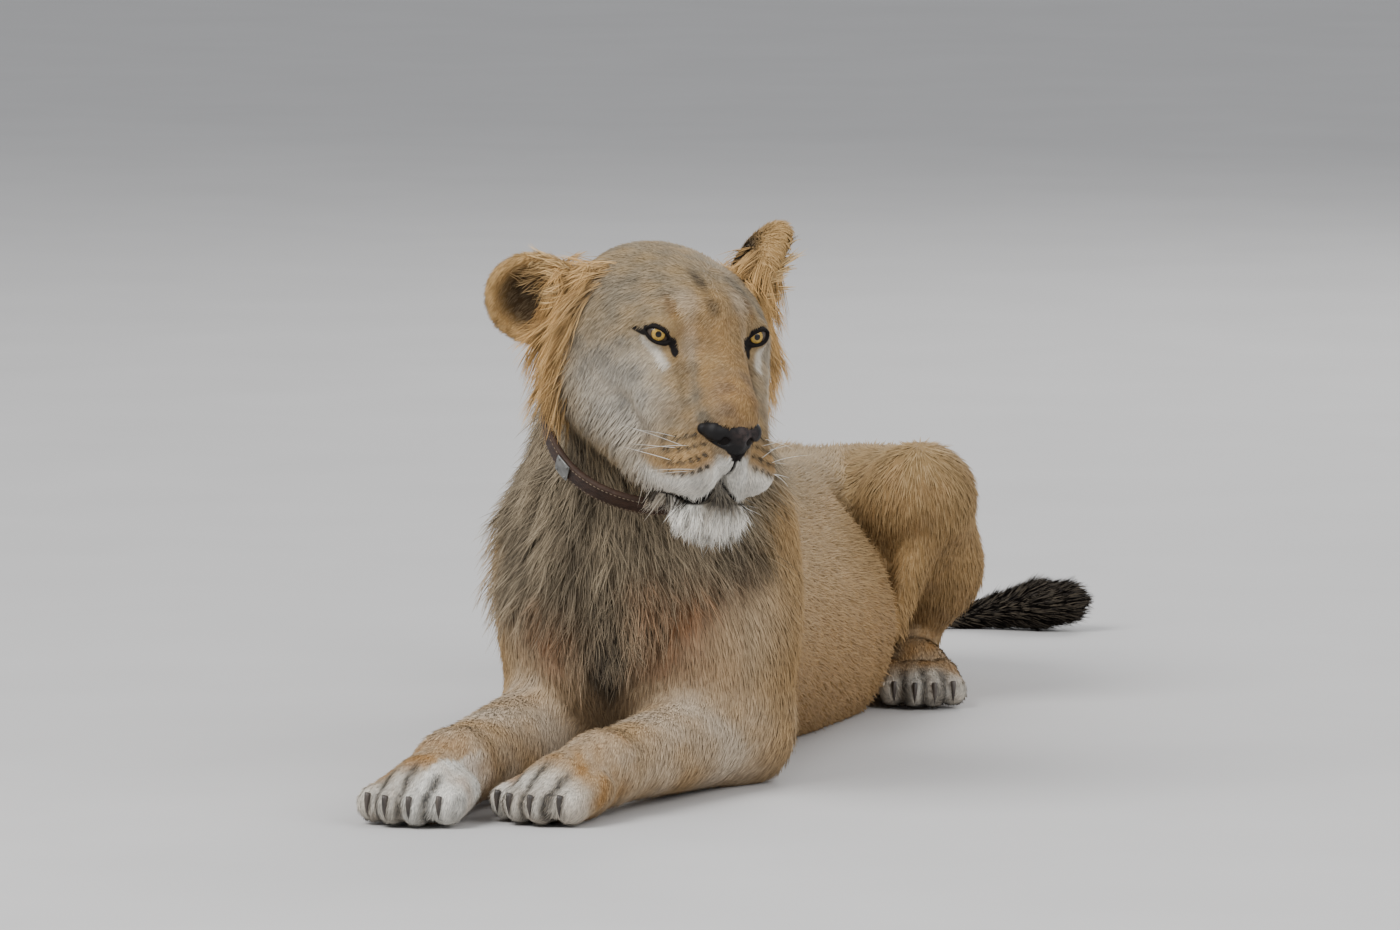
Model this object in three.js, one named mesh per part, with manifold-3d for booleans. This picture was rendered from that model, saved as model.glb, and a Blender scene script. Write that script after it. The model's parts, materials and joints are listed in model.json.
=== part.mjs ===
// A young male lion lying on its chest, head turned to its left, wearing a leather collar.
// Millimetres, +Z up. The head end is toward -Y and the lion's own left is toward +X.
//
// The animal is described once as a set of soft masses: tapers (round cones) and eggs
// (ellipsoids) that melt into each other. Each named part is the share of that one body that
// its own masses claim, so neighbours meet along a thin cut and the outline runs on unbroken.

import * as THREE from "three";
import { mergeVertices } from "three/addons/utils/BufferGeometryUtils.js";
import ManifoldModule from "manifold-3d";

const wasm = await ManifoldModule();
wasm.setup();

// ---------------------------------------------------------------- driving dimensions

const EYE_CENTRE = [97, -205, 534]; // midpoint between the eyeballs
const HEAD_YAW = 38; // degrees the head turns to its own left
const HEAD_PITCH = 15; // degrees the nose drops
const HEAD_ROLL = 4; // degrees its left side drops
const EYE_SPACING = 118; // between eyeball centres
const EYE_RADIUS = 18;
const NOSE_RADII = [15, 37, 19];
const EAR_LENGTH = 102;
const EAR_WIDTH = 108;
const EARS = { // base, up and opening, in the head's frame
  left: [[-116, 112, 0], [-0.1, 0.46, 0.88], [0.3, 0.9, -0.2]],
  right: [[-120, -98, -24], [-0.35, -0.9, 0.25], [0.75, -0.5, 0.1]],
};
const RUFFS = {
  left: [[-96, 114, 34], [-90, 134, -40], [-90, 136, -100]],
  right: [[-104, -98, 34], [-108, -106, -40], [-104, -112, -108]],
};

const SHOULDER_LEFT = [76, 60, 280];
const SHOULDER_RIGHT = [-95, 60, 250];
const ELBOW_LEFT = [92, 45, 60];
const ELBOW_RIGHT = [-100, 60, 62];
const WRIST_LEFT = [2, -290, 50];
const WRIST_RIGHT = [-158, -322, 52];
const PAW_YAW_LEFT = -27; // the left paw crosses toward the right one
const PAW_YAW_RIGHT = -14;

const HIP = [88, 1090, 190]; // left side; the right one mirrors it
const KNEE = [170, 862, 246];
const HOCK = [120, 1058, 48];
const HIND_FOOT_YAW = 14;

const TAIL_LINE = [
  [0, 1200, 160], [-30, 1320, 84], [-60, 1440, 25], [-50, 1570, 20], [10, 1660, 16.5], [88, 1701, 14],
];
const TAIL_RADII = [48, 36, 29, 24, 20, 17];
const TUFT_LINE = [[84, 1699, 14], [130, 1699, 23], [180, 1693, 32], [216, 1688, 36], [244, 1683, 40]];
const TUFT_RADII = [14, 23, 35, 29, 9];

const COLLAR_CENTRE = [26, -122, 428];
const COLLAR_WIDE = 118; // half widths of the ring, to the middle of the strap
const COLLAR_DEEP = 120;
const COLLAR_STRAP = 26; // strap width along the neck
const COLLAR_THICK = 7;

const CLAW_LENGTH = 22;
const CLAW_RADIUS = 4.5;
const CLAW_REACH = 3; // how far the claw stands forward of the toe
const GAP = 0.3; // clearance between neighbouring parts
const NECK_OVERLAP = 12; // how far the body's net runs into the head before the head is cut out
const HEAD_GROWTH = 1.5; // flat facets lie inside a round form; this carries them out to it
const BODY_GROWTH = 3;

// ---------------------------------------------------------------- frames

const radians = (degrees) => degrees * Math.PI / 180;
const add3 = (a, b) => [a[0] + b[0], a[1] + b[1], a[2] + b[2]];
const scale3 = (a, s) => [a[0] * s, a[1] * s, a[2] * s];
const dot3 = (a, b) => a[0] * b[0] + a[1] * b[1] + a[2] * b[2];
const mix3 = (a, b, t) => [0, 1, 2].map((i) => a[i] + (b[i] - a[i]) * t);
const unit3 = (a) => scale3(a, 1 / Math.hypot(...a));
const cross3 = (a, b) => [
  a[1] * b[2] - a[2] * b[1], a[2] * b[0] - a[0] * b[2], a[0] * b[1] - a[1] * b[0],
];

// A local frame whose axes run forward, to its own left, and up.
class Frame {
  constructor(origin, forward, left, up) {
    this.origin = origin;
    this.axes = [forward, left, up];
  }

  static turned(origin, yaw, pitch = 0, roll = 0) {
    const [y, p, r] = [yaw, pitch, roll].map(radians);
    const forward = [Math.sin(y) * Math.cos(p), -Math.cos(y) * Math.cos(p), -Math.sin(p)];
    const level = [Math.cos(y), Math.sin(y), 0];
    const upright = cross3(forward, level);
    const left = add3(scale3(level, Math.cos(r)), scale3(upright, -Math.sin(r)));
    return new Frame(origin, forward, left, cross3(forward, left));
  }

  direction(v) {
    return this.axes.reduce((sum, axis, i) => add3(sum, scale3(axis, v[i])), [0, 0, 0]);
  }

  point(v) {
    return add3(this.origin, this.direction(v));
  }

  // A frame standing on this one: its up and forward given as directions in this frame.
  standing(origin, up, forward) {
    const u = unit3(this.direction(up));
    const lean = this.direction(forward);
    const f = unit3(add3(lean, scale3(u, -dot3(lean, u))));
    return new Frame(this.point(origin), f, cross3(u, f), u);
  }
}

const WORLD = new Frame([0, 0, 0], [1, 0, 0], [0, 1, 0], [0, 0, 1]);

// ---------------------------------------------------------------- soft masses

// Distance to a round cone from a to b.
function coneDistance(p, a, b, ra, rb) {
  const ax = [b[0] - a[0], b[1] - a[1], b[2] - a[2]];
  const q = [p[0] - a[0], p[1] - a[1], p[2] - a[2]];
  const length = Math.hypot(...ax);
  const along = dot3(q, ax) / length;
  const across = Math.sqrt(Math.max(dot3(q, q) - along * along, 0));
  const slope = Math.max(-0.999, Math.min(0.999, (ra - rb) / length));
  const shift = across * slope / Math.sqrt(1 - slope * slope);
  const t = Math.max(0, Math.min(1, (along + shift) / length));
  return Math.hypot(across, along - t * length) - (ra + (rb - ra) * t);
}

// A line of round cones through points, each point with its own radius.
function chain(points, radii, blend, frame = WORLD) {
  const at = points.map((p) => frame.point(p));
  const distance = (p) => {
    let nearest = Infinity;
    for (let i = 0; i + 1 < at.length; i++) {
      nearest = Math.min(nearest, coneDistance(p, at[i], at[i + 1], radii[i], radii[i + 1]));
    }
    return nearest;
  };
  const low = [0, 1, 2].map((i) => Math.min(...at.map((p, n) => p[i] - radii[n])));
  const high = [0, 1, 2].map((i) => Math.max(...at.map((p, n) => p[i] + radii[n])));
  return { distance, low, high, blend };
}

const taper = (a, b, ra, rb, blend, frame) => chain([a, b], [ra, rb], blend, frame);

// An ellipsoid with its three radii along the frame's axes.
function egg(centre, radii, blend, frame = WORLD) {
  const at = frame.point(centre);
  const distance = (p) => {
    const q = [p[0] - at[0], p[1] - at[1], p[2] - at[2]];
    const local = frame.axes.map((axis) => dot3(q, axis));
    const near = Math.hypot(...local.map((v, i) => v / radii[i]));
    const far = Math.hypot(...local.map((v, i) => v / (radii[i] * radii[i])));
    return near * (near - 1) / (far + 1e-9);
  };
  const span = [0, 1, 2].map((i) => Math.hypot(...frame.axes.map((axis, n) => axis[i] * radii[n])));
  return { distance, low: at.map((v, i) => v - span[i]), high: at.map((v, i) => v + span[i]), blend };
}

const hollow = (mass) => ({ ...mass, hollow: true });

function softUnion(a, b, blend) {
  const h = Math.max(blend - Math.abs(a - b), 0) / blend;
  return Math.min(a, b) - h * h * blend / 4;
}

const FAR = 400;

// The joined distance to a list of masses at a point.
function fieldAt(p, masses) {
  let field = FAR;
  for (const mass of masses) {
    const margin = mass.blend + 60;
    const outside = [0, 1, 2].some((i) => p[i] < mass.low[i] - margin || p[i] > mass.high[i] + margin);
    if (outside) continue;
    const d = mass.distance(p);
    field = mass.hollow ? -softUnion(-field, d, mass.blend) : softUnion(field, d, mass.blend);
  }
  return field;
}

// ---------------------------------------------------------------- the body plan

const SIDES = [["left", 1], ["right", -1]];
const head = Frame.turned(EYE_CENTRE, HEAD_YAW, HEAD_PITCH, HEAD_ROLL);

function skullMasses() {
  const masses = [
    egg([-85, 0, -4], [115, 96, 72], 30, head), // braincase
    egg([-30, 0, 13], [70, 68, 40], 30, head), // forehead
  ];
  for (const [, s] of SIDES) {
    masses.push(egg([-80, s * 68, -42], [78, 50, 74], 30, head)); // cheek muscle
    masses.push(egg([-34, s * 58, -32], [58, 44, 48], 30, head)); // cheekbone
    masses.push(egg([6, s * 40, 18], [24, 22, 14], 18, head)); // brow
  }
  return masses;
}

function muzzleMasses() {
  const masses = [
    taper([5, 0, -2], [98, 0, -60], 45, 34, 25, head), // bridge of the nose
    taper([98, 0, -70], [108, 0, -104], 30, 30, 20, head),
  ];
  for (const [, s] of SIDES) {
    masses.push(egg([84, s * 34, -129], [50, 40, 34], 10, head)); // whisker pad
    masses.push(taper([15, s * 50, -52], [66, s * 34, -96], 38, 36, 22, head));
    masses.push(hollow(egg([42, s * (EYE_SPACING / 2 + 6), -1], [24, 21, 14], 8, head))); // eye socket
  }
  return masses;
}

function jawMasses() {
  const masses = [];
  for (const [, s] of SIDES) {
    masses.push(taper([-80, s * 62, -98], [44, s * 36, -150], 56, 36, 30, head));
  }
  masses.push(egg([90, 0, -166], [42, 44, 26], 10, head)); // chin
  masses.push(egg([98, 0, -182], [38, 57, 38], 14, head)); // chin beard
  return masses;
}

function earMasses(base, up, opening) {
  const ear = head.standing(base, up, opening);
  const rise = EAR_LENGTH * 0.4;
  return [
    egg([0, 0, rise], [28, EAR_WIDTH / 2, EAR_LENGTH - rise], 18, ear),
    hollow(egg([26, 0, rise + 6], [28, EAR_WIDTH * 0.35, EAR_LENGTH * 0.45], 8, ear)),
  ];
}

const ruffMasses = (side) => [chain(RUFFS[side], [24, 32, 24], 22, head)];

const neckMasses = () => [
  taper([40, -70, 480], [5, 80, 330], 102, 138, 50),
  taper([12, -85, 405], [-18, -20, 250], 98, 145, 50),
  taper([-70, -10, 430], [-85, 20, 330], 58, 78, 50),
];

const chestMasses = () => [
  taper([-15, -40, 260], [-35, -70, 150], 138, 80, 50), // breast and chest mane
  chain([[-5, 60, 300], [0, 350, 290]], [92, 68], 80),
  chain([[-5, 60, 190], [0, 330, 144]], [165, 150], 70),
];

const bellyMasses = () => [
  chain([[0, 350, 290], [0, 720, 252]], [68, 54], 80),
  chain([[0, 330, 144], [0, 560, 112], [0, 740, 104]], [150, 154, 162], 70),
];

const hipMasses = () => [
  chain([[0, 720, 252], [0, 1090, 200]], [54, 80], 80),
  chain([[0, 740, 104], [0, 910, 128], [0, 1160, 140]], [162, 104, 106], 70),
];

// A paw on the ground: the pad of the foot and four toes fanned across its front.
function pawMasses(ankle, yaw, shape) {
  const paw = Frame.turned([ankle[0], ankle[1], 0], yaw);
  const masses = [
    taper([0, 0, shape.heel], [shape.length * 0.55, 0, shape.instep], shape.ankle, shape.instep, 25, paw),
    egg([shape.length * 0.53, 0, shape.flat], [shape.spread * 1.2, shape.spread, 40], 10, paw),
  ];
  for (const [across, reach] of toeFan(shape)) {
    const root = [reach - 56, across * 0.8, 36];
    masses.push(taper(root, [reach, across, shape.toe], shape.toe, shape.toe, 9, paw));
  }
  return masses;
}

// Each toe's place across the paw and how far forward it reaches.
const toeFan = (shape) => [-1.5, -0.5, 0.5, 1.5].map((place) => [
  place * shape.toeStep, shape.length - 8 * (place * place - 0.25),
]);

const FORE_PAW = {
  length: 126, heel: 52, ankle: 40, instep: 40, flat: 32, spread: 56, toe: 23, toeStep: 29,
};
const HIND_PAW = {
  length: 270, heel: 38, ankle: 30, instep: 38, flat: 32, spread: 46, toe: 20, toeStep: 23.5,
};

function clawFrames(ankle, yaw, shape) {
  const paw = Frame.turned([ankle[0], ankle[1], 0], yaw);
  return toeFan(shape).map(([across, reach]) => {
    const tip = [reach + shape.toe + CLAW_REACH, across, shape.toe * 1.1];
    return paw.standing(tip, [-0.35, 0, 0.94], [1, 0, 0]);
  });
}

const mirrored = (point, s) => [point[0] * s, point[1], point[2]];

function hindLeg(s) {
  const hip = mirrored(HIP, s);
  const knee = mirrored(KNEE, s);
  const hock = mirrored(HOCK, s);
  const calf = add3(mix3(knee, hock, 0.55), [s * 14, 0, 6]);
  return {
    thigh: [
      taper(hip, knee, 106, 66, 40),
      taper(add3(hip, [s * 8, -40, -50]), add3(knee, [-s * 2, 100, -86]), 92, 64, 40), // hamstring
      taper(add3(knee, [s * 2, -18, -52]), [s * 134, 806, 100], 40, 34, 30), // fold of the flank
      taper([s * 138, 880, 180], [s * 104, 862, 96], 52, 46, 40), // loose skin behind the fold
    ],
    shank: [
      taper(knee, calf, 60, 54, 35),
      taper(calf, hock, 54, 40, 30),
      taper(calf, add3(hock, [s * 2, -84, 40]), 54, 42, 30), // wrinkled skin over the instep
    ],
    foot: pawMasses(hock, s * HIND_FOOT_YAW, HIND_PAW),
    claws: clawFrames(hock, s * HIND_FOOT_YAW, HIND_PAW),
  };
}

function foreLeg(shoulder, elbow, wrist, yaw, girth) {
  return {
    upper: [taper(shoulder, elbow, girth + 15, girth, 50)],
    lower: [taper(elbow, wrist, girth, girth * 0.66, 35)],
    paw: pawMasses(wrist, yaw, FORE_PAW),
    claws: clawFrames(wrist, yaw, FORE_PAW),
  };
}

// ---------------------------------------------------------------- from masses to faceted solids

// One cell of the sampling grid looks at its eight corners.
const CORNERS = [0, 1, 2, 3, 4, 5, 6, 7].map((n) => [n & 1, (n >> 1) & 1, n >> 2]);
const EDGES = [];
for (let a = 0; a < 8; a++) {
  for (const bit of [1, 2, 4]) {
    if (!(a & bit)) EDGES.push([a, a | bit]);
  }
}

// Grid lines from low to high, with a step of its own for each stretch.
function lines(low, stretches) {
  const at = [low];
  for (const [end, step] of stretches) {
    const from = at[at.length - 1];
    const count = Math.max(1, Math.round((end - from) / step));
    for (let i = 1; i <= count; i++) at.push(from + (end - from) * i / count);
  }
  return at;
}

const OUTSIDE = -1;

// Two corners of a grid face that meet only across its diagonal would make an edge shared by
// four facets, so the less certain of the other two corners is given to the same owner.
function joinDiagonals(owner, samples, size, index) {
  const steps = [[1, 0, 0], [0, 1, 0], [0, 0, 1]].map((step) => index(...step));
  const settled = new Uint8Array(owner.length);
  const certainty = (n) => Math.abs(samples[n].depth) + FAR * settled[n];
  let changed = true;
  for (let pass = 0; changed && pass < 40; pass++) {
    changed = false;
    for (let n = 0; n + steps[0] + steps[1] + steps[2] < owner.length; n++) {
      for (const [u, v] of [[0, 1], [1, 2], [2, 0]]) {
        const face = [n, n + steps[u], n + steps[u] + steps[v], n + steps[v]];
        for (const [a, b, c, d] of [face, [...face.slice(1), face[0]]]) {
          if (owner[a] !== owner[c] || owner[a] === owner[b] || owner[a] === owner[d]) continue;
          const given = certainty(b) < certainty(d) ? b : d;
          owner[given] = owner[a];
          settled[given] = 1;
          changed = true;
        }
      }
    }
  }
}

// Samples the body on a grid and gives every grid point to the part that claims it most.
// Returns one closed surface for each part; neighbours share their dividing surface exactly.
function netsOf(parts, grid, claims) {
  const size = grid.map((axis) => axis.length);
  const index = (i, j, k) => i + size[0] * (j + size[1] * k);
  const owner = new Int8Array(size[0] * size[1] * size[2]);
  const samples = new Array(owner.length);
  for (let k = 0; k < size[2]; k++) {
    for (let j = 0; j < size[1]; j++) {
      for (let i = 0; i < size[0]; i++) {
        const sample = claims([grid[0][i], grid[1][j], grid[2][k]]);
        owner[index(i, j, k)] = sample.owner;
        samples[index(i, j, k)] = sample;
      }
    }
  }

  joinDiagonals(owner, samples, size, index);

  // How far along a grid edge the boundary between its two owners lies.
  const crossing = (a, b) => {
    const level = (sample) => {
      if (owner[a] === OUTSIDE || owner[b] === OUTSIDE) return sample.depth;
      return sample.own[owner[a]] - sample.own[owner[b]];
    };
    const [va, vb] = [level(samples[a]), level(samples[b])];
    return Math.max(0.05, Math.min(0.95, va / (va - vb)));
  };
  const cornerOf = new Map();
  const cellCorner = (i, j, k) => {
    const key = index(i, j, k);
    if (cornerOf.has(key)) return cornerOf.get(key);
    const sum = [0, 0, 0];
    let count = 0;
    for (const [a, b] of EDGES) {
      const [ca, cb] = [CORNERS[a], CORNERS[b]];
      const ia = index(i + ca[0], j + ca[1], k + ca[2]);
      const ib = index(i + cb[0], j + cb[1], k + cb[2]);
      if (owner[ia] === owner[ib]) continue;
      const at = mix3(ca, cb, crossing(ia, ib));
      for (let n = 0; n < 3; n++) sum[n] += at[n];
      count++;
    }
    const spans = [i, j, k].map((line, n) => grid[n][line + 1] - grid[n][line]);
    const point = [i, j, k].map((line, n) => grid[n][line] + spans[n] * sum[n] / count);
    cornerOf.set(key, point);
    return point;
  };

  const surfaces = parts.map(() => ({ positions: [], triangles: [], numbers: new Map() }));
  const addQuad = (surface, cells, flip) => {
    const quad = cells.map((cell) => {
      const key = index(...cell);
      if (!surface.numbers.has(key)) {
        surface.numbers.set(key, surface.numbers.size);
        surface.positions.push(...cellCorner(...cell));
      }
      return surface.numbers.get(key);
    });
    const [a, b, c, d] = quad;
    surface.triangles.push(...(flip ? [a, c, b, a, d, c] : [a, b, c, a, c, d]));
  };
  for (let axis = 0; axis < 3; axis++) {
    const [u, v] = [(axis + 1) % 3, (axis + 2) % 3];
    const at = [0, 0, 0];
    for (at[2] = 0; at[2] < size[2] - 1; at[2]++) {
      for (at[1] = 0; at[1] < size[1] - 1; at[1]++) {
        for (at[0] = 0; at[0] < size[0] - 1; at[0]++) {
          if (at[u] === 0 || at[v] === 0) continue;
          const next = [...at];
          next[axis]++;
          const [here, there] = [owner[index(...at)], owner[index(...next)]];
          if (here === there) continue;
          const cells = [[0, 0], [1, 0], [1, 1], [0, 1]].map(([du, dv]) => {
            const cell = [...at];
            cell[u] -= du;
            cell[v] -= dv;
            return cell;
          });
          if (here !== OUTSIDE) addQuad(surfaces[here], cells, false);
          if (there !== OUTSIDE) addQuad(surfaces[there], cells, true);
        }
      }
    }
  }
  return surfaces.map(({ positions, triangles }) => {
    const geometry = new THREE.BufferGeometry();
    geometry.setAttribute("position", new THREE.Float32BufferAttribute(positions, 3));
    geometry.setIndex(triangles);
    return geometry;
  });
}

function weld(geometry) {
  const bare = geometry.clone();
  bare.deleteAttribute("normal");
  bare.deleteAttribute("uv");
  return mergeVertices(bare, 1e-4);
}

function solidFrom(geometry) {
  return new wasm.Manifold(new wasm.Mesh({
    numProp: 3,
    vertProperties: new Float32Array(geometry.attributes.position.array),
    triVerts: new Uint32Array(geometry.index.array),
  }));
}

// The same surface moved along its normals: outward for a positive distance.
function moved(geometry, distance) {
  const copy = geometry.clone();
  copy.computeVertexNormals();
  const position = copy.attributes.position;
  const normal = copy.attributes.normal;
  for (let i = 0; i < position.count; i++) {
    position.setXYZ(
      i,
      position.getX(i) + normal.getX(i) * distance,
      position.getY(i) + normal.getY(i) * distance,
      position.getZ(i) + normal.getZ(i) * distance,
    );
  }
  copy.deleteAttribute("normal");
  return copy;
}

// Keeps the biggest closed shell, so crumbs left along a cut fall away.
function biggestShell(mesh) {
  const parent = Array.from({ length: mesh.vertProperties.length / mesh.numProp }, (_, i) => i);
  const rootOf = (i) => {
    while (parent[i] !== i) i = parent[i] = parent[parent[i]];
    return i;
  };
  const triangles = mesh.triVerts;
  for (let t = 0; t < triangles.length; t += 3) {
    parent[rootOf(triangles[t])] = rootOf(triangles[t + 1]);
    parent[rootOf(triangles[t + 1])] = rootOf(triangles[t + 2]);
  }
  const corner = (i) => Array.from(mesh.vertProperties.slice(i * mesh.numProp, i * mesh.numProp + 3));
  const volume = new Map();
  for (let t = 0; t < triangles.length; t += 3) {
    const [a, b, c] = [0, 1, 2].map((n) => corner(triangles[t + n]));
    const root = rootOf(triangles[t]);
    volume.set(root, (volume.get(root) ?? 0) + dot3(a, cross3(b, c)));
  }
  const [best] = [...volume.entries()].sort((a, b) => b[1] - a[1])[0];
  const kept = [];
  for (let t = 0; t < triangles.length; t += 3) {
    if (rootOf(triangles[t]) === best) kept.push(triangles[t], triangles[t + 1], triangles[t + 2]);
  }
  const renumber = new Map();
  const positions = [];
  const order = kept.map((v) => {
    if (!renumber.has(v)) {
      renumber.set(v, renumber.size);
      positions.push(...corner(v));
    }
    return renumber.get(v);
  });
  const geometry = new THREE.BufferGeometry();
  geometry.setAttribute("position", new THREE.Float32BufferAttribute(positions, 3));
  geometry.setIndex(order);
  return geometry;
}

// ---------------------------------------------------------------- pieces that aren't flesh

const placed = (geometry, frame) => {
  const [f, l, u] = frame.axes.map((axis) => new THREE.Vector3(...axis));
  const matrix = new THREE.Matrix4().makeBasis(f, l, u).setPosition(...frame.origin);
  return weld(geometry).applyMatrix4(matrix);
};

function eyeball(s) {
  const frame = new Frame(head.point([12, s * EYE_SPACING / 2, 0]), ...head.axes);
  return placed(new THREE.IcosahedronGeometry(EYE_RADIUS, 1), frame);
}

function nosePad() {
  const pad = new THREE.IcosahedronGeometry(1, 1);
  pad.scale(...NOSE_RADII);
  return placed(pad, new Frame(head.point([124, 0, -83]), ...head.axes));
}

// A claw curves forward and down from the toe; its point is at the low end.
function clawGeometry(frame) {
  const cone = new THREE.ConeGeometry(CLAW_RADIUS, CLAW_LENGTH, 5, 2);
  cone.rotateX(-Math.PI / 2);
  const position = cone.attributes.position;
  for (let i = 0; i < position.count; i++) {
    const fall = position.getZ(i) / CLAW_LENGTH;
    position.setX(i, position.getX(i) - 5 * fall * fall);
  }
  return placed(cone, frame);
}

const collarFrame = Frame.turned(COLLAR_CENTRE, 20, -38, -14);

// A flat strap bent round into an oval ring; its axis runs along the neck.
function collarGeometry() {
  const halfWidth = COLLAR_STRAP / 2;
  const profile = [[1, -1], [1, 1], [-1, 1], [-1, -1], [1, -1]].map(([side, along]) => (
    new THREE.Vector2(COLLAR_WIDE + side * COLLAR_THICK / 2, along * halfWidth)
  ));
  const ring = new THREE.LatheGeometry(profile, 22);
  ring.rotateZ(-Math.PI / 2);
  ring.scale(1, 1, COLLAR_DEEP / COLLAR_WIDE);
  return placed(ring, collarFrame);
}

// A small pale plate riveted outside the strap on the right of the neck.
function tagGeometry() {
  const place = radians(197);
  const reach = [0, Math.cos(place) * COLLAR_WIDE, Math.sin(place) * COLLAR_DEEP];
  const outward = [0, Math.cos(place), Math.sin(place)];
  const seat = collarFrame.standing(reach, outward, [1, 0, 0]);
  const plate = new THREE.BoxGeometry(COLLAR_STRAP + 6, 26, 4);
  plate.translate(0, 0, COLLAR_THICK / 2 + 2 + GAP);
  return placed(plate, seat);
}

// A round tube along a smooth line, with a radius at each of its points.
function tailGeometry(points, radii, rings, sides) {
  const curve = new THREE.CatmullRomCurve3(points.map((p) => new THREE.Vector3(...p)));
  const positions = [];
  const at = new THREE.Vector3();
  for (let ring = 0; ring <= rings; ring++) {
    const t = ring / rings;
    const place = t * (points.length - 1);
    const step = Math.min(Math.floor(place), points.length - 2);
    const radius = radii[step] + (radii[step + 1] - radii[step]) * (place - step);
    curve.getPoint(t, at);
    const along = curve.getTangent(t).toArray();
    const across = unit3(cross3(along, [0, 0, 1]));
    const up = cross3(across, along);
    for (let side = 0; side < sides; side++) {
      const turn = (side + 0.5) / sides * 2 * Math.PI;
      const spoke = add3(scale3(across, Math.cos(turn) * radius), scale3(up, Math.sin(turn) * radius));
      positions.push(...add3(at.toArray(), spoke));
    }
  }
  const triangles = [];
  const number = (ring, side) => ring * sides + side % sides;
  for (let ring = 0; ring < rings; ring++) {
    for (let side = 0; side < sides; side++) {
      const [a, b] = [number(ring, side), number(ring, side + 1)];
      const [c, d] = [number(ring + 1, side + 1), number(ring + 1, side)];
      triangles.push(a, c, b, a, d, c);
    }
  }
  for (let side = 1; side + 1 < sides; side++) {
    triangles.push(number(0, 0), number(0, side), number(0, side + 1));
    triangles.push(number(rings, 0), number(rings, side + 1), number(rings, side));
  }
  const geometry = new THREE.BufferGeometry();
  geometry.setAttribute("position", new THREE.Float32BufferAttribute(positions, 3));
  geometry.setIndex(triangles);
  return geometry;
}

// ---------------------------------------------------------------- finishes

const finish = (color, roughness, metalness = 0) => (
  new THREE.MeshStandardMaterial({ color, roughness, metalness })
);

const FINISH = {
  coat: finish(0xa98d66, 0.85),
  face: finish(0xa69479, 0.8),
  mane: finish(0x7d6c52, 0.9),
  ruff: finish(0xc08a4a, 0.9),
  pale: finish(0xd8cfbe, 0.85),
  tuft: finish(0x14110f, 0.9),
  nose: finish(0x2a2220, 0.5),
  eye: finish(0xb8863a, 0.1),
  claw: finish(0x1c1815, 0.4),
  leather: finish(0x3a2218, 0.6),
  plate: finish(0xb9b6ae, 0.35, 0.8),
};

// ---------------------------------------------------------------- the list of parts

const left = foreLeg(SHOULDER_LEFT, ELBOW_LEFT, WRIST_LEFT, PAW_YAW_LEFT, 65);
const right = foreLeg(SHOULDER_RIGHT, ELBOW_RIGHT, WRIST_RIGHT, PAW_YAW_RIGHT, 69);
const hind = { left: hindLeg(1), right: hindLeg(-1) };

const hard = []; // finished shapes, cut out of the flesh around them
const headGroup = []; // shares of the one soft body that the head takes
const bodyGroup = []; // and those of the neck, trunk, legs and tail

const addHard = (name, geometry, material, cutBefore = false) => (
  hard.push({ name, geometry, material, cutBefore })
);
const addFlesh = (group, name, masses, material) => group.push({ name, masses, material });

for (const [side, s] of SIDES) addHard(`eye_${side}`, eyeball(s), FINISH.eye);
for (const [place, limb] of [["fore_left", left], ["fore_right", right],
  ["hind_left", hind.left], ["hind_right", hind.right]]) {
  limb.claws.forEach((frame, n) => addHard(`claw_${place}_${n + 1}`, clawGeometry(frame), FINISH.claw));
}
addHard("nose", nosePad(), FINISH.nose);
addHard("collar", collarGeometry(), FINISH.leather);
addHard("collar_plate", tagGeometry(), FINISH.plate);

addHard("tail_tuft", tailGeometry(TUFT_LINE, TUFT_RADII, 8, 8), FINISH.tuft, true);
addHard("tail_end", tailGeometry(TAIL_LINE.slice(3), TAIL_RADII.slice(3), 7, 8), FINISH.coat, true);
addHard("tail_base", tailGeometry(TAIL_LINE.slice(0, 4), TAIL_RADII.slice(0, 4), 8, 8), FINISH.coat, true);

addFlesh(headGroup, "head", skullMasses(), FINISH.face);
addFlesh(headGroup, "muzzle", muzzleMasses(), FINISH.face);
addFlesh(headGroup, "lower_jaw", jawMasses(), FINISH.pale);
for (const [side] of SIDES) addFlesh(headGroup, `ear_${side}`, earMasses(...EARS[side]), FINISH.ruff);
for (const [side] of SIDES) addFlesh(headGroup, `ruff_${side}`, ruffMasses(side), FINISH.ruff);

addFlesh(bodyGroup, "neck", neckMasses(), FINISH.mane);
addFlesh(bodyGroup, "chest", chestMasses(), FINISH.mane);
addFlesh(bodyGroup, "belly", bellyMasses(), FINISH.coat);
addFlesh(bodyGroup, "hips", hipMasses(), FINISH.coat);
for (const [side, limb] of [["left", left], ["right", right]]) {
  addFlesh(bodyGroup, `upper_arm_${side}`, limb.upper, FINISH.coat);
  addFlesh(bodyGroup, `forearm_${side}`, limb.lower, FINISH.coat);
  addFlesh(bodyGroup, `fore_paw_${side}`, limb.paw, FINISH.pale);
}
for (const [side] of SIDES) {
  addFlesh(bodyGroup, `thigh_${side}`, hind[side].thigh, FINISH.coat);
  addFlesh(bodyGroup, `shank_${side}`, hind[side].shank, FINISH.coat);
  addFlesh(bodyGroup, `hind_foot_${side}`, hind[side].foot, FINISH.pale);
}

// ---------------------------------------------------------------- building

// Grids are finest where the form turns fastest: the face, the paws and the tail.
const HEAD_GRID = [
  lines(-190, [[242, 25]]),
  lines(-360, [[40, 25]]),
  lines(268, [[690, 25]]),
];
const BODY_GRID = [
  lines(-300, [[300, 43]]),
  lines(-500, [[-310, 28], [-60, 62], [800, 96], [1330, 56]]),
  lines(-78, [[-30, 48], [110, 28], [640, 53]]),
];

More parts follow.
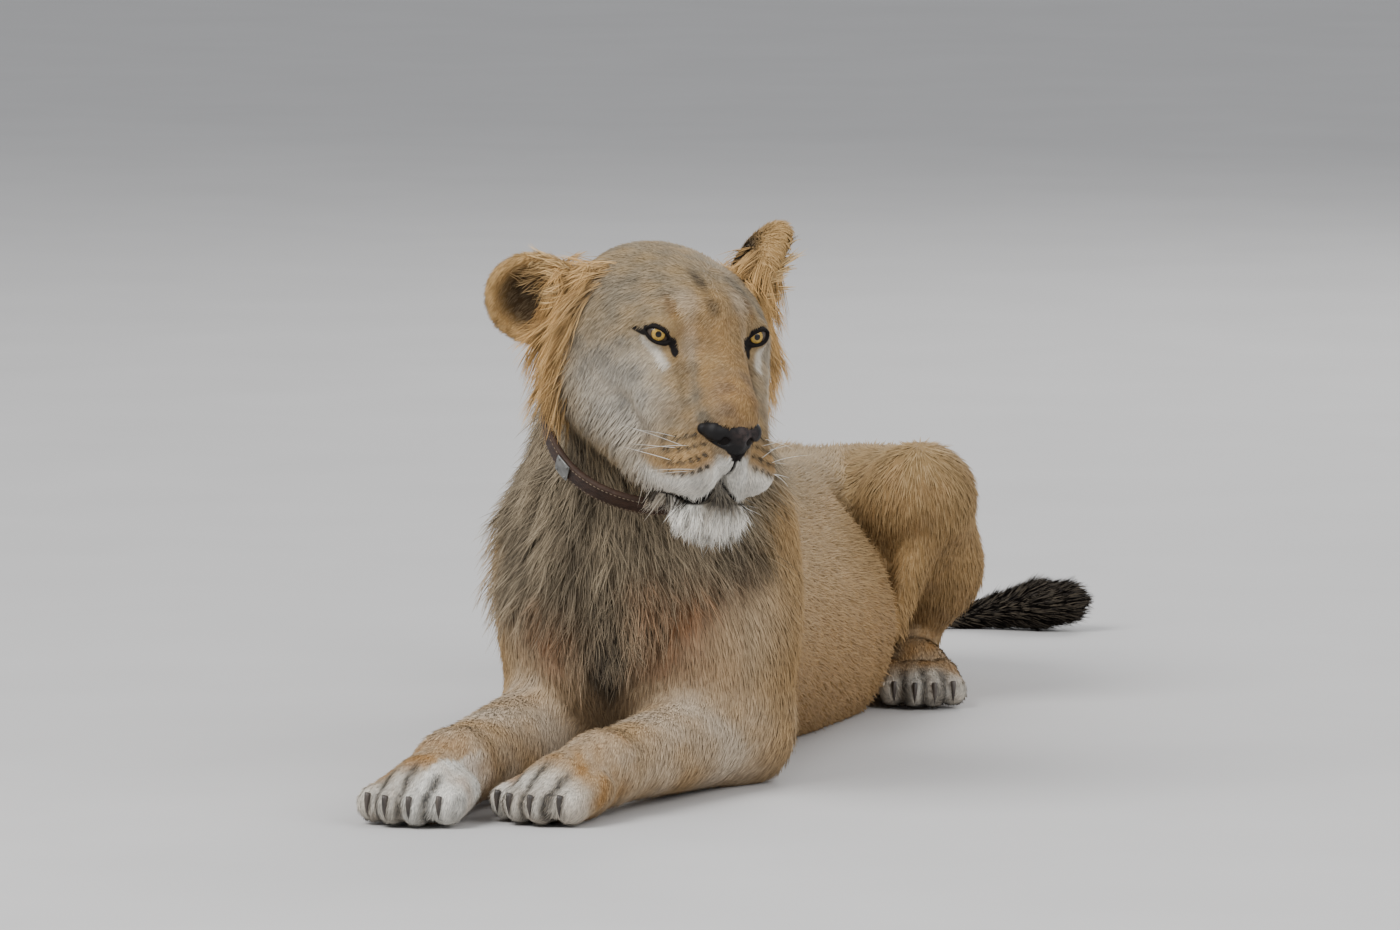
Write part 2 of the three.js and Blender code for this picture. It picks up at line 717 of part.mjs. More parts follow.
const boxesMeet = (a, b, margin) => [0, 1, 2].every((i) => (
  a.low[i] - margin < b.high[i] && a.high[i] + margin > b.low[i]
));

const allMasses = [...headGroup, ...bodyGroup].flatMap((part) => part.masses);
const leastOf = (p, group) => Math.min(...group.map((part) => fieldAt(p, part.masses)));

// Who owns a point: the part of the group whose own masses reach furthest over it.
const claimsOf = (group, others, overlap, growth) => (p) => {
  const own = group.map((part) => fieldAt(p, part.masses));
  const least = Math.min(...own);
  const depth = Math.max(fieldAt(p, allMasses) - growth, least - leastOf(p, others) - overlap);
  return { own, depth, owner: depth < 0 ? own.indexOf(least) : OUTSIDE };
};

const floorBlock = solidFrom(weld(new THREE.BoxGeometry(4000, 6000, 1000).translate(0, 500, -500)));

const lion = new THREE.Group();
const cutters = [];

function boxOf(geometry) {
  geometry.computeBoundingBox();
  return { low: geometry.boundingBox.min.toArray(), high: geometry.boundingBox.max.toArray() };
}

// What comes later is cut back from this shape by the gap.
function addCutter(geometry) {
  cutters.push({ ...boxOf(geometry), solid: solidFrom(moved(geometry, GAP)) });
}

function addMesh(name, geometry, material) {
  geometry.computeVertexNormals();
  const mesh = new THREE.Mesh(geometry, material);
  mesh.name = name;
  lion.add(mesh);
}

// Flesh stands back from its neighbours, from the floor plane and from whatever is set into it.
function addShares(group, geometries) {
  const neighbours = [];
  geometries.forEach((geometry, n) => {
    const box = boxOf(geometry);
    let solid = solidFrom(moved(geometry, -GAP * 0.6)).subtract(floorBlock);
    for (const cutter of [...cutters, ...neighbours]) {
      if (boxesMeet(cutter, box, 1)) solid = solid.subtract(cutter.solid);
    }
    addMesh(group[n].name, biggestShell(solid.getMesh()), group[n].material);
    neighbours.push({ ...box, solid: solidFrom(moved(geometry, -GAP * 0.1)).add(solid) });
  });
  for (const geometry of geometries) addCutter(geometry);
}

for (const { name, geometry, material, cutBefore } of hard) {
  let finished = geometry;
  if (cutBefore) {
    let solid = solidFrom(geometry).subtract(floorBlock);
    for (const cutter of cutters) solid = solid.subtract(cutter.solid);
    finished = biggestShell(solid.getMesh());
  }
  addMesh(name, finished, material);
  addCutter(geometry);
}
addShares(headGroup, netsOf(headGroup, HEAD_GRID, claimsOf(headGroup, bodyGroup, 0, HEAD_GROWTH)));
addShares(bodyGroup, netsOf(
  bodyGroup, BODY_GRID, claimsOf(bodyGroup, headGroup, NECK_OVERLAP, BODY_GROWTH),
));

// The origin is the middle of the footprint, at floor level.
const whole = new THREE.Box3().setFromObject(lion);
lion.position.set(-(whole.min.x + whole.max.x) / 2, -(whole.min.y + whole.max.y) / 2, 0);

export default lion;
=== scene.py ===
"""A young male lion lying on its chest with a plain leather collar: skin, coat and finishes."""

import json
import math
from types import SimpleNamespace

import bmesh
import bpy
import numpy as np
from bpy.props import FloatProperty, FloatVectorProperty, IntProperty, PointerProperty
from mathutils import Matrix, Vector
from mathutils.kdtree import KDTree

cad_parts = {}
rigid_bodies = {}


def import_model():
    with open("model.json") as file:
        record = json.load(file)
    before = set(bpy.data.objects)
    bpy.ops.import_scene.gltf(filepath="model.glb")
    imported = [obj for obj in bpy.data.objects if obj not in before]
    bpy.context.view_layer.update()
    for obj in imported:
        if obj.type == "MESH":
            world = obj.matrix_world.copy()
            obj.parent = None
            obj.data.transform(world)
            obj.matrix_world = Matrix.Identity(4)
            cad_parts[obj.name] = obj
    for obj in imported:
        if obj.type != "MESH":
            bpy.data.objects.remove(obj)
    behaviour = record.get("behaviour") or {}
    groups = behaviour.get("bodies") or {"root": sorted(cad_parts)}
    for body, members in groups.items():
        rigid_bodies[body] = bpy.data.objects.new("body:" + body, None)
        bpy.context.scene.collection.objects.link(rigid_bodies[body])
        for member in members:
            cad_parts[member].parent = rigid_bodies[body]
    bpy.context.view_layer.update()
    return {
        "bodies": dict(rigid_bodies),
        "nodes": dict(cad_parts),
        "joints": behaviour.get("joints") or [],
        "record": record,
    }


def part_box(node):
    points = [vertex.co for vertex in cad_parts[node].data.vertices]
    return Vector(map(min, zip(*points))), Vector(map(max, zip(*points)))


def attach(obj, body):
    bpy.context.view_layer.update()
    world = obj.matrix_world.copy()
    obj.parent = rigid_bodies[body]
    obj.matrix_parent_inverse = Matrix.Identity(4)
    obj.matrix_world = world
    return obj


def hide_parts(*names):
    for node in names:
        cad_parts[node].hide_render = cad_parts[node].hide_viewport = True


bl_info = {
    "name": "Lying lion",
    "version": (1, 0, 0),
    "blender": (4, 5, 0),
    "location": "View3D > Sidebar > Lion",
    "description": "Builds the skin, the coat and the collar of a lying lion round its solids",
    "category": "Object",
}

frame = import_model()
MM = 0.001
GROWN = 1.0  # share of the hair that this run grows


# ---------------------------------------------------------------- what a user would change


def colour(label, text, value):
    return FloatVectorProperty(name=label, description=text, default=value, size=3, subtype="COLOR",
                               min=0, max=1)


class LionColours(bpy.types.PropertyGroup):
    """Colours of the coat, the eyes, the nose and the collar."""

    tan: colour("Tan", "Ground colour of the coat", (0.34, 0.235, 0.115))
    warm: colour("Ochre", "Warmer flanks, legs and brow", (0.4, 0.225, 0.08))
    grey: colour("Grey", "Greyish hair of head, neck and back", (0.262, 0.215, 0.15))
    gold: colour("Gold", "Long hair of ears and ruff", (0.56, 0.33, 0.12))
    rust: colour("Rust", "Rusty hair of the lower chest", (0.37, 0.15, 0.052))
    pale: colour("Cream", "White and cream hair of chin, brow and toes", (0.88, 0.85, 0.77))
    dark: colour("Black", "Eye rims, lips, whisker spots and tail tuft", (0.016, 0.013, 0.012))
    iris: colour("Iris", "Amber of the iris", (0.5, 0.31, 0.06))
    nose: colour("Nose", "Bare skin of the nose", (0.009, 0.008, 0.008))
    nose_patch: colour("Nose patch", "Worn pinkish patch on the nose", (0.05, 0.034, 0.031))
    claw: colour("Claw", "Horn of the claws", (0.03, 0.024, 0.02))
    # darker than the leather's own brown: painted shade of the shadow the strap lies in under the jaw and
    # mane
    leather: colour("Leather", "Worn strap of the collar", (0.024, 0.013, 0.009))
    plate: colour("Plate", "Metal plate on the strap", (0.22, 0.22, 0.21))


class LionCoat(bpy.types.PropertyGroup):
    """Lengths and fullness of the coat."""

    fullness: FloatProperty(name="Fullness", description="Number of short tufts, 1.5 as designed",
                            default=1.5, min=0.1, max=1.6)
    hair: FloatProperty(name="Hair", description="Number of long strands, 1 as designed",
                        default=1.0, min=0.1, max=1.4)
    length: FloatProperty(name="Short coat", description="Length of the short tufts, 1 as designed",
                          default=1.0, min=0.5, max=1.3)
    seed: IntProperty(name="Seed", description="Starts every random draw", default=7, min=0)


def colours():
    return bpy.context.scene.lion_colours


def coat_settings():
    return bpy.context.scene.lion_coat


def tints(marks):
    """The marks laid over the ground colour, one after another."""
    tint = np.tile(np.array(colours().tan), (len(marks["warm"]), 1))
    for name, amount in marks.items():
        tint += (np.array(getattr(colours(), name)) - tint) * amount[:, None]
    return tint


# ---------------------------------------------------------------- frames and soft masses

UP = np.array([0.0, 0.0, 1.0])
SIDES = (("left", 1), ("right", -1))


def unit(v):
    """v, or each row of v, at length 1."""
    v = np.asarray(v, float)
    return v / np.maximum(np.linalg.norm(v, axis=-1, keepdims=True), 1e-9)


def ramp(x, low, high):
    """0 below low, 1 above high, smooth between."""
    t = np.clip((np.asarray(x, float) - low) / (high - low), 0, 1)
    return t * t * (3 - 2 * t)


class Axes:
    """A local frame whose rows run forward, to its own left, and up."""

    def __init__(self, origin, rows):
        self.origin = np.asarray(origin, float)
        self.rows = np.asarray(rows, float)

    @classmethod
    def turned(cls, origin, yaw, pitch=0.0, roll=0.0):
        y, p, r = np.radians([yaw, pitch, roll])
        forward = np.array([np.sin(y) * np.cos(p), -np.cos(y) * np.cos(p), -np.sin(p)])
        level = np.array([np.cos(y), np.sin(y), 0.0])
        left = level * np.cos(r) - np.cross(forward, level) * np.sin(r)
        return cls(origin, [forward, left, np.cross(forward, left)])

    def direction(self, v):
        return np.asarray(v, float) @ self.rows

    def point(self, p):
        return self.origin + self.direction(p)

    def local(self, points):
        return (points - self.origin) @ self.rows.T

    def standing(self, origin, up, forward):
        """A frame on this one, its up and forward given as directions in this frame."""
        u = unit(self.direction(up))
        lean = self.direction(forward)
        f = unit(lean - (lean @ u) * u)
        return Axes(self.point(origin), [f, np.cross(u, f), u])


WORLD = Axes([0, 0, 0], np.eye(3))


class Mass:
    """One soft mass of the body: its distance, its box, how it blends, and how its coat lies."""

    def __init__(self, part, distance, low, high, blend, lie, hollow=False):
        self.part, self.distance, self.blend = part, distance, blend
        self.low, self.high = np.asarray(low), np.asarray(high)
        self.lie, self.hollow = unit(lie), hollow


def cone_distance(p, a, b, ra, rb):
    """Distance from the points p to a round cone from a to b."""
    span = b - a
    length = np.linalg.norm(span)
    q = p - a
    along = q @ (span / length)
    across = np.sqrt(np.maximum((q * q).sum(-1) - along * along, 0))
    slope = np.clip((ra - rb) / length, -0.999, 0.999)
    t = np.clip((along + across * slope / np.sqrt(1 - slope * slope)) / length, 0, 1)
    return np.sqrt(across ** 2 + (along - t * length) ** 2) - (ra + (rb - ra) * t)


def chain(part, points, radii, blend, frame=WORLD, coat=0.0, lie=None):
    """A line of round cones through points; the coat lies along it unless lie says otherwise."""
    at = [frame.point(p) for p in points]
    r = [max(radius - coat, 3.0) for radius in radii]

    def distance(p):
        rows = [cone_distance(p, at[i], at[i + 1], r[i], r[i + 1]) for i in range(len(at) - 1)]
        return np.minimum.reduce(rows)

    low = np.min([p - radius for p, radius in zip(at, r)], axis=0)
    high = np.max([p + radius for p, radius in zip(at, r)], axis=0)
    flow = at[-1] - at[0] if lie is None else frame.direction(lie)
    return Mass(part, distance, low, high, blend, flow)


def egg(part, centre, radii, blend, frame=WORLD, coat=0.0, lie=(0, 0, -1), hollow=False):
    """An ellipsoid with its three radii along the frame's axes."""
    at = frame.point(centre)
    r = np.maximum(np.asarray(radii, float) - coat, 3.0)

    def distance(p):
        q = (p - at) @ frame.rows.T
        near = np.sqrt(((q / r) ** 2).sum(-1))
        far = np.sqrt(((q / (r * r)) ** 2).sum(-1)) + 1e-9
        return near * (near - 1) / far

    span = np.sqrt(((frame.rows.T * r) ** 2).sum(1))
    return Mass(part, distance, at - span, at + span, blend, frame.direction(lie), hollow)


FAR = 60.0


def soft_union(a, b, blend):
    h = np.maximum(blend - np.abs(a - b), 0) / blend
    return np.minimum(a, b) - h * h * blend / 4


def join(field, d, mass):
    return -soft_union(-field, d, mass.blend) if mass.hollow else soft_union(field, d, mass.blend)


def near(mass, points, margin):
    inside = (points > mass.low - margin) & (points < mass.high + margin)
    return np.nonzero(inside.all(1))[0]


def field_at(points, masses):
    """The joined distance at each point."""
    field = np.full(len(points), FAR)
    for mass in masses:
        n = near(mass, points, mass.blend + FAR)
        if len(n):
            field[n] = join(field[n], mass.distance(points[n]), mass)
    return field


def slope_at(points, masses, step=0.6):
    """The unit outward direction of the joined distance."""
    ends = [field_at(points + step * axis, masses) - field_at(points - step * axis, masses)
            for axis in np.eye(3)]
    return unit(np.stack(ends, 1))


# ---------------------------------------------------------------- the body plan, in millimetres

EYE_CENTRE = (97, -205, 534)  # midpoint between the eyeballs
EYE_SPACING = 118
EYE_RADIUS = 18
EYE_FORWARD = 12  # eyeballs' centres ahead of that midpoint
EAR_LENGTH = 102
EAR_WIDTH = 108
SHOULDERS = {"left": (76, 60, 280), "right": (-95, 60, 250)}
ELBOWS = {"left": (92, 45, 60), "right": (-100, 60, 62)}
WRISTS = {"left": (2, -290, 50), "right": (-158, -322, 52)}
PAW_YAWS = {"left": -27, "right": -14}
FOREARM_GIRTH = {"left": 65, "right": 69}
HIP = (88, 1090, 190)
KNEE = (170, 862, 246)
HOCK = (120, 1058, 48)
HIND_FOOT_YAW = 14
TAIL = [(0, 1200, 160), (-30, 1320, 84), (-60, 1440, 25), (-50, 1570, 20), (10, 1660, 16.5), (88, 1701, 14)]
TAIL_RADII = [48, 36, 29, 24, 20, 17]
TUFT = [(84, 1699, 14), (130, 1699, 23), (180, 1693, 32), (216, 1688, 36), (244, 1683, 40)]
TUFT_RADII = [14, 23, 35, 29, 9]
FORE_PAW = dict(length=126, heel=52, ankle=40, instep=40, flat=32, spread=56, toe=23, step=29)
HIND_PAW = dict(length=270, heel=38, ankle=30, instep=38, flat=32, spread=46, toe=20, step=23.5)
EARS = {
    "left": ((-116, 112, 0), (-0.1, 0.46, 0.88), (0.3, 0.9, -0.2)),
    "right": ((-120, -98, -24), (-0.35, -0.9, 0.25), (0.75, -0.5, 0.1)),
}

RUFFS = {
    "left": [(-96, 114, 34), (-90, 134, -40), (-90, 136, -100)],
    "right": [(-104, -98, 34), (-108, -106, -40), (-104, -112, -108)],
}

HEAD = Axes.turned(EYE_CENTRE, 38, 15, 4)
EAR_FRAMES = {side: HEAD.standing(*EARS[side]) for side in EARS}
EYES = {side: HEAD.point((EYE_FORWARD, s * EYE_SPACING / 2, 0)) for side, s in SIDES}


def skull():
    fur = dict(frame=HEAD, coat=4)
    masses = [
        egg("head", (-85, 0, -4), (115, 96, 72), 30, lie=(-1, 0, 0.35), **fur),
        egg("head", (-30, 0, 13), (70, 68, 40), 30, lie=(-1, 0, 0.6), **fur),
    ]
    for _, s in SIDES:
        masses += [
            egg("cheek", (-80, s * 68, -42), (78, 50, 74), 30, lie=(-0.8, s * 0.5, -0.45), **fur),
            egg("cheek", (-34, s * 58, -32), (58, 44, 48), 30, lie=(-0.8, s * 0.6, -0.15), **fur),
            egg("head", (6, s * 40, 18), (24, 22, 14), 18, lie=(-0.6, s * 0.3, 0.8), **fur),
        ]
    return masses


def muzzle():
    fur = dict(frame=HEAD, coat=3)
    masses = [
        chain("bridge", [(5, 0, -2), (98, 0, -60)], [45, 34], 25, lie=(-0.85, 0, 0.5), **fur),
        chain("bridge", [(98, 0, -70), (108, 0, -104)], [30, 30], 20, lie=(-0.5, 0, 0.6), **fur),
    ]
    for _, s in SIDES:
        out = (-0.75, s * 0.75, -0.25)
        masses += [
            egg("pad", (84, s * 34, -129), (50, 40, 34), 10, lie=out, **fur),
            chain("cheek", [(15, s * 50, -52), (66, s * 34, -96)], [38, 36], 22,
                  lie=(-0.8, s * 0.6, -0.3), **fur),
        ]
    return masses


def jaw():
    masses = [chain("jaw", [(-80, s * 62, -98), (44, s * 36, -150)], [56, 36], 30, frame=HEAD,
                    coat=7, lie=(-0.8, s * 0.2, -0.6)) for _, s in SIDES]
    return masses + [
        egg("chin", (90, 0, -166), (42, 44, 26), 10, HEAD, 5, lie=(0.1, 0, -1)),
        egg("chin", (98, 0, -182), (38, 57, 38), 14, HEAD, 20, lie=(0.15, 0, -1)),
    ]


def ear(side):
    frame = EAR_FRAMES[side]
    rise = EAR_LENGTH * 0.4
    return [
        egg("ear", (0, 0, rise), (28, EAR_WIDTH / 2, EAR_LENGTH - rise), 18, frame, 3, lie=UP),
        egg("ear", (25, 0, rise + 9), (41, EAR_WIDTH * 0.41, EAR_LENGTH * 0.44), 5, frame, lie=UP,
            hollow=True),
    ]


def ruff(side):
    lie = (-0.5, 0.3 if side == "left" else -0.3, -0.9)
    return [chain("ruff", RUFFS[side], [24, 32, 24], 22, HEAD, 20, lie=lie)]


def neck():
    down = (0, 0.35, -0.94)
    return [
        chain("neck", [(40, -70, 480), (5, 80, 330)], [102, 138], 50, coat=16, lie=down),
        chain("neck", [(12, -85, 405), (-18, -20, 250)], [98, 145], 50, coat=18, lie=(0, -0.1, -1)),
        chain("neck", [(-70, -10, 430), (-85, 20, 330)], [58, 78], 50, coat=16, lie=down),
    ]


def trunk():
    back = (0, 1, -0.3)
    return [
        chain("chest", [(-15, -40, 260), (-35, -70, 150)], [138, 80], 50, coat=20, lie=(0, -0.1, -1)),
        chain("back", [(-5, 60, 300), (0, 350, 290), (0, 720, 252), (0, 1090, 200)],
              [92, 68, 54, 80], 80, coat=6, lie=(0, 1, -0.1)),
        chain("flank", [(-5, 60, 190), (0, 330, 144), (0, 560, 112), (0, 740, 104), (0, 910, 128),
                        (0, 1160, 140)], [165, 150, 154, 162, 104, 106], 70, coat=6, lie=back),
    ]


def paw(part, ankle, yaw, shape):
    """A foot on the ground: its pad, and four toes fanned across the front."""
    frame = foot_frame(ankle, yaw)
    length, toe = shape["length"], shape["toe"]
    masses = [
        chain(part, [(0, 0, shape["heel"]), (length * 0.55, 0, shape["instep"])],
              [shape["ankle"], shape["instep"]], 25, frame, 4),
        egg(part, (length * 0.53, 0, shape["flat"]), (shape["spread"] * 1.2, shape["spread"], 40),
            10, frame, 5, lie=(1, 0, -0.2)),
    ]
    for across, reach in toe_fan(shape):
        masses.append(chain(part, [(reach - 56, across * 0.8, 36), (reach, across, toe)],
                            [toe, toe], 7, frame, 3))
    return masses


def toe_fan(shape):
    """Each toe's place across the foot and how far forward it reaches."""
    return [(n * shape["step"], shape["length"] - 8 * (n * n - 0.25)) for n in (-1.5, -0.5, 0.5, 1.5)]


def foot_frame(ankle, yaw):
    """A frame on the floor under an ankle, turned as its foot is."""
    return Axes.turned((ankle[0], ankle[1], 0), yaw)


def feet(side, s):
    """Both feet of one side: name, frame and shape."""
    hock = np.array(HOCK) * (s, 1, 1)
    return (("fore", foot_frame(WRISTS[side], PAW_YAWS[side]), FORE_PAW),
            ("hind", foot_frame(hock, s * HIND_FOOT_YAW), HIND_PAW))


def foreleg(side):
    shoulder, elbow, wrist = SHOULDERS[side], ELBOWS[side], WRISTS[side]
    girth = FOREARM_GIRTH[side]
    return [
        chain("upper_arm", [shoulder, elbow], [girth + 15, girth], 50, coat=6),
        chain("forearm", [elbow, wrist], [girth, girth * 0.66], 35, coat=5),
    ] + paw("fore_paw", wrist, PAW_YAWS[side], FORE_PAW)


def hindleg(s):
    hip, knee, hock = [np.array(p, float) * (s, 1, 1) for p in (HIP, KNEE, HOCK)]
    calf = knee * 0.45 + hock * 0.55 + (s * 14, 0, 6)
    fold = [knee + (s * 6, -26, -44), (s * 148, 800, 94)]
    loose = [(s * 138, 880, 180), (s * 104, 862, 96)]
    return [
        chain("thigh", [hip, knee], [106, 66], 40, coat=6, lie=(0, 0.25, -1)),
        chain("thigh", [hip + (s * 8, -40, -50), knee + (-s * 2, 100, -86)], [92, 64], 40, coat=6,
              lie=(0, 0.4, -1)),
        chain("thigh", fold, [26, 17], 12, coat=4, lie=(0, 0.3, -1)),
        chain("thigh", loose, [48, 42], 24, coat=5, lie=(0, 0.3, -1)),
        chain("shank", [knee, calf], [60, 54], 35, coat=5, lie=(0, 0.4, -1)),
        chain("shank", [calf, hock], [54, 40], 30, coat=5),
        chain("shank", [calf, hock + (s * 2, -84, 40)], [54, 42], 30, coat=5, lie=(0, 0.2, -1)),
    ] + paw("hind_paw", hock, s * HIND_FOOT_YAW, HIND_PAW)


def tail():
    return [
        chain("tail", TAIL, TAIL_RADII, 30, coat=6),
        chain("tuft", TUFT[:-1], [r * 0.76 for r in TUFT_RADII[:-1]], 14),
    ]


def body_plan():
    """Every mass, in the order that they join."""
    masses = skull() + muzzle() + jaw()
    for side, _ in SIDES:
        masses += ear(side) + ruff(side)
    masses += neck() + trunk() + tail()
    for side, s in SIDES:
        masses += foreleg(side) + hindleg(s)
    return masses


# ---------------------------------------------------------------- from masses to one skin


def grid_lines(low, *stretches):
    """Grid lines from low on, each stretch given as (end, step)."""
    at = [low]
    for end, step in stretches:
        count = max(1, round((end - at[-1]) / step))
        at += list(np.linspace(at[-1], end, count + 1)[1:])
    return np.array(at)


# Grid lines along X, Y and Z, closer together where the body has small forms.
SKIN_GRID = (
    grid_lines(-250, (270, 6.6)),
    grid_lines(-500, (-60, 6.6), (180, 8.5), (1180, 12), (1740, 8)),
    grid_lines(-60, (0, 12), (110, 6.0), (350, 8.5), (690, 6.6)),
)


def sample_grid(masses, axes):
    """The joined distance on a grid; each mass is worked out only near its own box."""
    field = np.full([len(a) for a in axes], FAR, np.float32)
    for mass in masses:
        reach = mass.blend + 20
        start = [np.searchsorted(a, low - reach) for a, low in zip(axes, mass.low)]
        stop = [np.searchsorted(a, high + reach) for a, high in zip(axes, mass.high)]
        block = tuple(slice(i, j) for i, j in zip(start, stop))
        points = np.stack(np.meshgrid(*[a[s] for a, s in zip(axes, block)], indexing="ij"), -1)
        if points.size:
            field[block] = join(field[block], mass.distance(points), mass)
    return field


def surface_net(field, axes):
    """Points and outward triangles of the surface where the field changes sign."""
    inside = field < 0
    size = np.array(field.shape)
    corners = [(i, j, k) for i in (0, 1) for j in (0, 1) for k in (0, 1)]
    count = sum(inside[i:size[0] - 1 + i, j:size[1] - 1 + j, k:size[2] - 1 + k].astype(np.int8)
                for i, j, k in corners)
    crossed = (count > 0) & (count < 8)
    cells = np.argwhere(crossed)
    number = np.full(crossed.shape, -1)
    number[crossed] = np.arange(len(cells))
    total, hits = np.zeros((len(cells), 3)), np.zeros((len(cells), 1))
    for corner in corners:
        for axis in range(3):
            if corner[axis]:
                continue
            other = np.array(corner)
            other[axis] = 1
            a, b = field[tuple((cells + corner).T)], field[tuple((cells + other).T)]
            crossing = (a < 0) != (b < 0)
            at = np.tile(np.array(corner, float), (len(cells), 1))
            at[:, axis] = a / np.where(crossing, a - b, 1)
            total += at * crossing[:, None]
            hits += crossing[:, None]
    place = cells + total / hits
    points = np.stack([np.interp(place[:, i], np.arange(size[i]), axes[i]) for i in range(3)], 1)
    quads = []
    for axis in range(3):
        u, v = [a for a in range(3) if a != axis]
        first = inside.take(range(size[axis] - 1), axis)
        at = np.argwhere(first != inside.take(range(1, size[axis]), axis))
        at = at[(at[:, u] > 0) & (at[:, v] > 0) & (at[:, u] < size[u] - 1) & (at[:, v] < size[v] - 1)]
        ring = []
        for du, dv in ((0, 0), (1, 0), (1, 1), (0, 1)):
            cell = at.copy()
            cell[:, u] -= du
            cell[:, v] -= dv
            ring.append(number[tuple(cell.T)])
        quad = np.stack(ring, 1)
        outward = first[tuple(at.T)] if axis != 1 else ~first[tuple(at.T)]
        quad[~outward] = quad[~outward][:, ::-1]
        quads.append(quad)
    quads = np.concatenate(quads)
    ends = points[quads]
    short = np.linalg.norm(ends[:, 0] - ends[:, 2], axis=1) < np.linalg.norm(ends[:, 1] - ends[:, 3], axis=1)
    quads = np.where(short[:, None], quads, np.roll(quads, 1, axis=1))
    return points, np.concatenate([quads[:, [0, 1, 2]], quads[:, [0, 2, 3]]])


def refine(points, faces, chosen):
    """Splits the chosen triangles in four and their neighbours to match."""
    ends = np.sort(faces[:, [0, 1, 1, 2, 2, 0]].reshape(-1, 2), 1)
    keys, edge = np.unique(ends[:, 0] * len(points) + ends[:, 1], return_inverse=True)
    edge = edge.reshape(-1, 3)
    split = np.zeros(len(keys), bool)
    split[edge[chosen]] = True
    while True:
        two = split[edge].sum(1) == 2
        if not two.any():
            break
        split[edge[two]] = True
    middle = np.where(split, np.cumsum(split) - 1 + len(points), -1)
    first, second = keys[split] // len(points), keys[split] % len(points)
    fresh = (points[first] + points[second]) / 2
    count = split[edge].sum(1)
    whole, (a, b, c), (ab, bc, ca) = faces[count == 0], faces[count == 3].T, middle[edge[count == 3]].T
    result = [whole] + [np.stack(t, 1) for t in ((a, ab, ca), (ab, b, bc), (ca, bc, c), (ab, bc, ca))]
    for side in range(3):
        n = (count == 1) & split[edge[:, side]]
        a, b, c = np.roll(faces[n], -side, axis=1).T
        m = middle[edge[n, side]]
        result += [np.stack((a, m, c), 1), np.stack((m, b, c), 1)]
    return np.concatenate([points, fresh]), np.concatenate(result)


def settle(points, masses, steps=2):
    """Moves points onto the body's surface, no further than a few millimetres a step."""
    for _ in range(steps):
        walk = np.clip(field_at(points, masses), -6, 6)
        points = points - slope_at(points, masses) * walk[:, None]
    return points


def vertex_normals(points, faces):
    a, b, c = points[faces[:, 0]], points[faces[:, 1]], points[faces[:, 2]]
    flat = np.cross(b - a, c - a)
    normals = np.zeros_like(points)
    for i in range(3):
        for axis in range(3):
            normals[:, axis] += np.bincount(faces[:, i], flat[:, axis], len(points))
    return unit(normals)


# ---------------------------------------------------------------- materials


class Socket:
    """A shader value that adds its Math nodes when it is used in an expression."""

    def __init__(self, finish, socket):
        self.finish, self.socket = finish, socket

    def math(self, operation, *others):
        values = dict(enumerate((self,) + others))
        return self.finish.node("ShaderNodeMath", {"operation": operation}, values)

    def __add__(self, other):
        return self.math("ADD", other)

    __radd__ = __add__

    def __mul__(self, other):
        return self.math("MULTIPLY", other)

    __rmul__ = __mul__

    def __sub__(self, other):
        return self.math("SUBTRACT", other)

    def __rsub__(self, other):
        return (self * -1.0) + other

    def over(self, low, high):
        """0 below low, 1 above high, smooth between."""
        values = {"Value": self, "From Min": low, "From Max": high}
        return self.finish.node("ShaderNodeMapRange", {"interpolation_type": "SMOOTHSTEP"}, values)

    def at_most(self, other):
        return self.math("MINIMUM", other)


class Finish:
    """A material with its node tree, and short ways to add to it."""

    def __init__(self, name):
        self.material = bpy.data.materials.new(name)
        self.material.use_nodes = True
        self.tree = self.material.node_tree
        self.shader = self.tree.nodes["Principled BSDF"]

    def node(self, kind, settings=None, values=None, output=0):
        node = self.tree.nodes.new(kind)
        for key, value in (settings or {}).items():
            setattr(node, key, value)
        for key, value in (values or {}).items():
            self.feed(node.inputs[key], value)
        return Socket(self, node.outputs[output])

    def feed(self, target, value):
        if isinstance(value, Socket):
            self.tree.links.new(value.socket, target)
        else:
            target.default_value = value

    def attribute(self, name, output="Fac"):
        return self.node("ShaderNodeAttribute", {"attribute_name": name}, output=output)

    def place(self, scale=(1, 1, 1)):
        """Object coordinates, scaled."""
        at = self.node("ShaderNodeTexCoord", output="Object")
        return self.node("ShaderNodeMapping", values={"Vector": at, "Scale": scale})

    def noise(self, scale, detail=3.0, roughness=0.5, at=None):
        values = {"Vector": at or self.place(), "Scale": scale, "Detail": detail, "Roughness": roughness}
        return self.node("ShaderNodeTexNoise", values=values, output="Fac")

    def mix(self, factor, a, b, blend="MIX"):
        settings = {"data_type": "RGBA", "blend_type": blend, "clamp_factor": True}
        return self.node("ShaderNodeMix", settings, {"Factor": factor, 6: rgba(a), 7: rgba(b)}, output=2)

    def bump(self, height, distance, strength):
        values = {"Height": height, "Distance": distance, "Strength": strength}
        return self.node("ShaderNodeBump", values=values)

    def surface(self, **inputs):
        for key, value in inputs.items():
            self.feed(self.shader.inputs[key.replace("_", " ")], value)
        return self.material


def rgba(colour):
    return colour if isinstance(colour, Socket) or len(colour) == 4 else (*colour, 1.0)


def times(colour, amount):
    """A colour made lighter or darker."""
    return tuple(part * amount for part in colour)


# ---------------------------------------------------------------- coat and markings, region by region

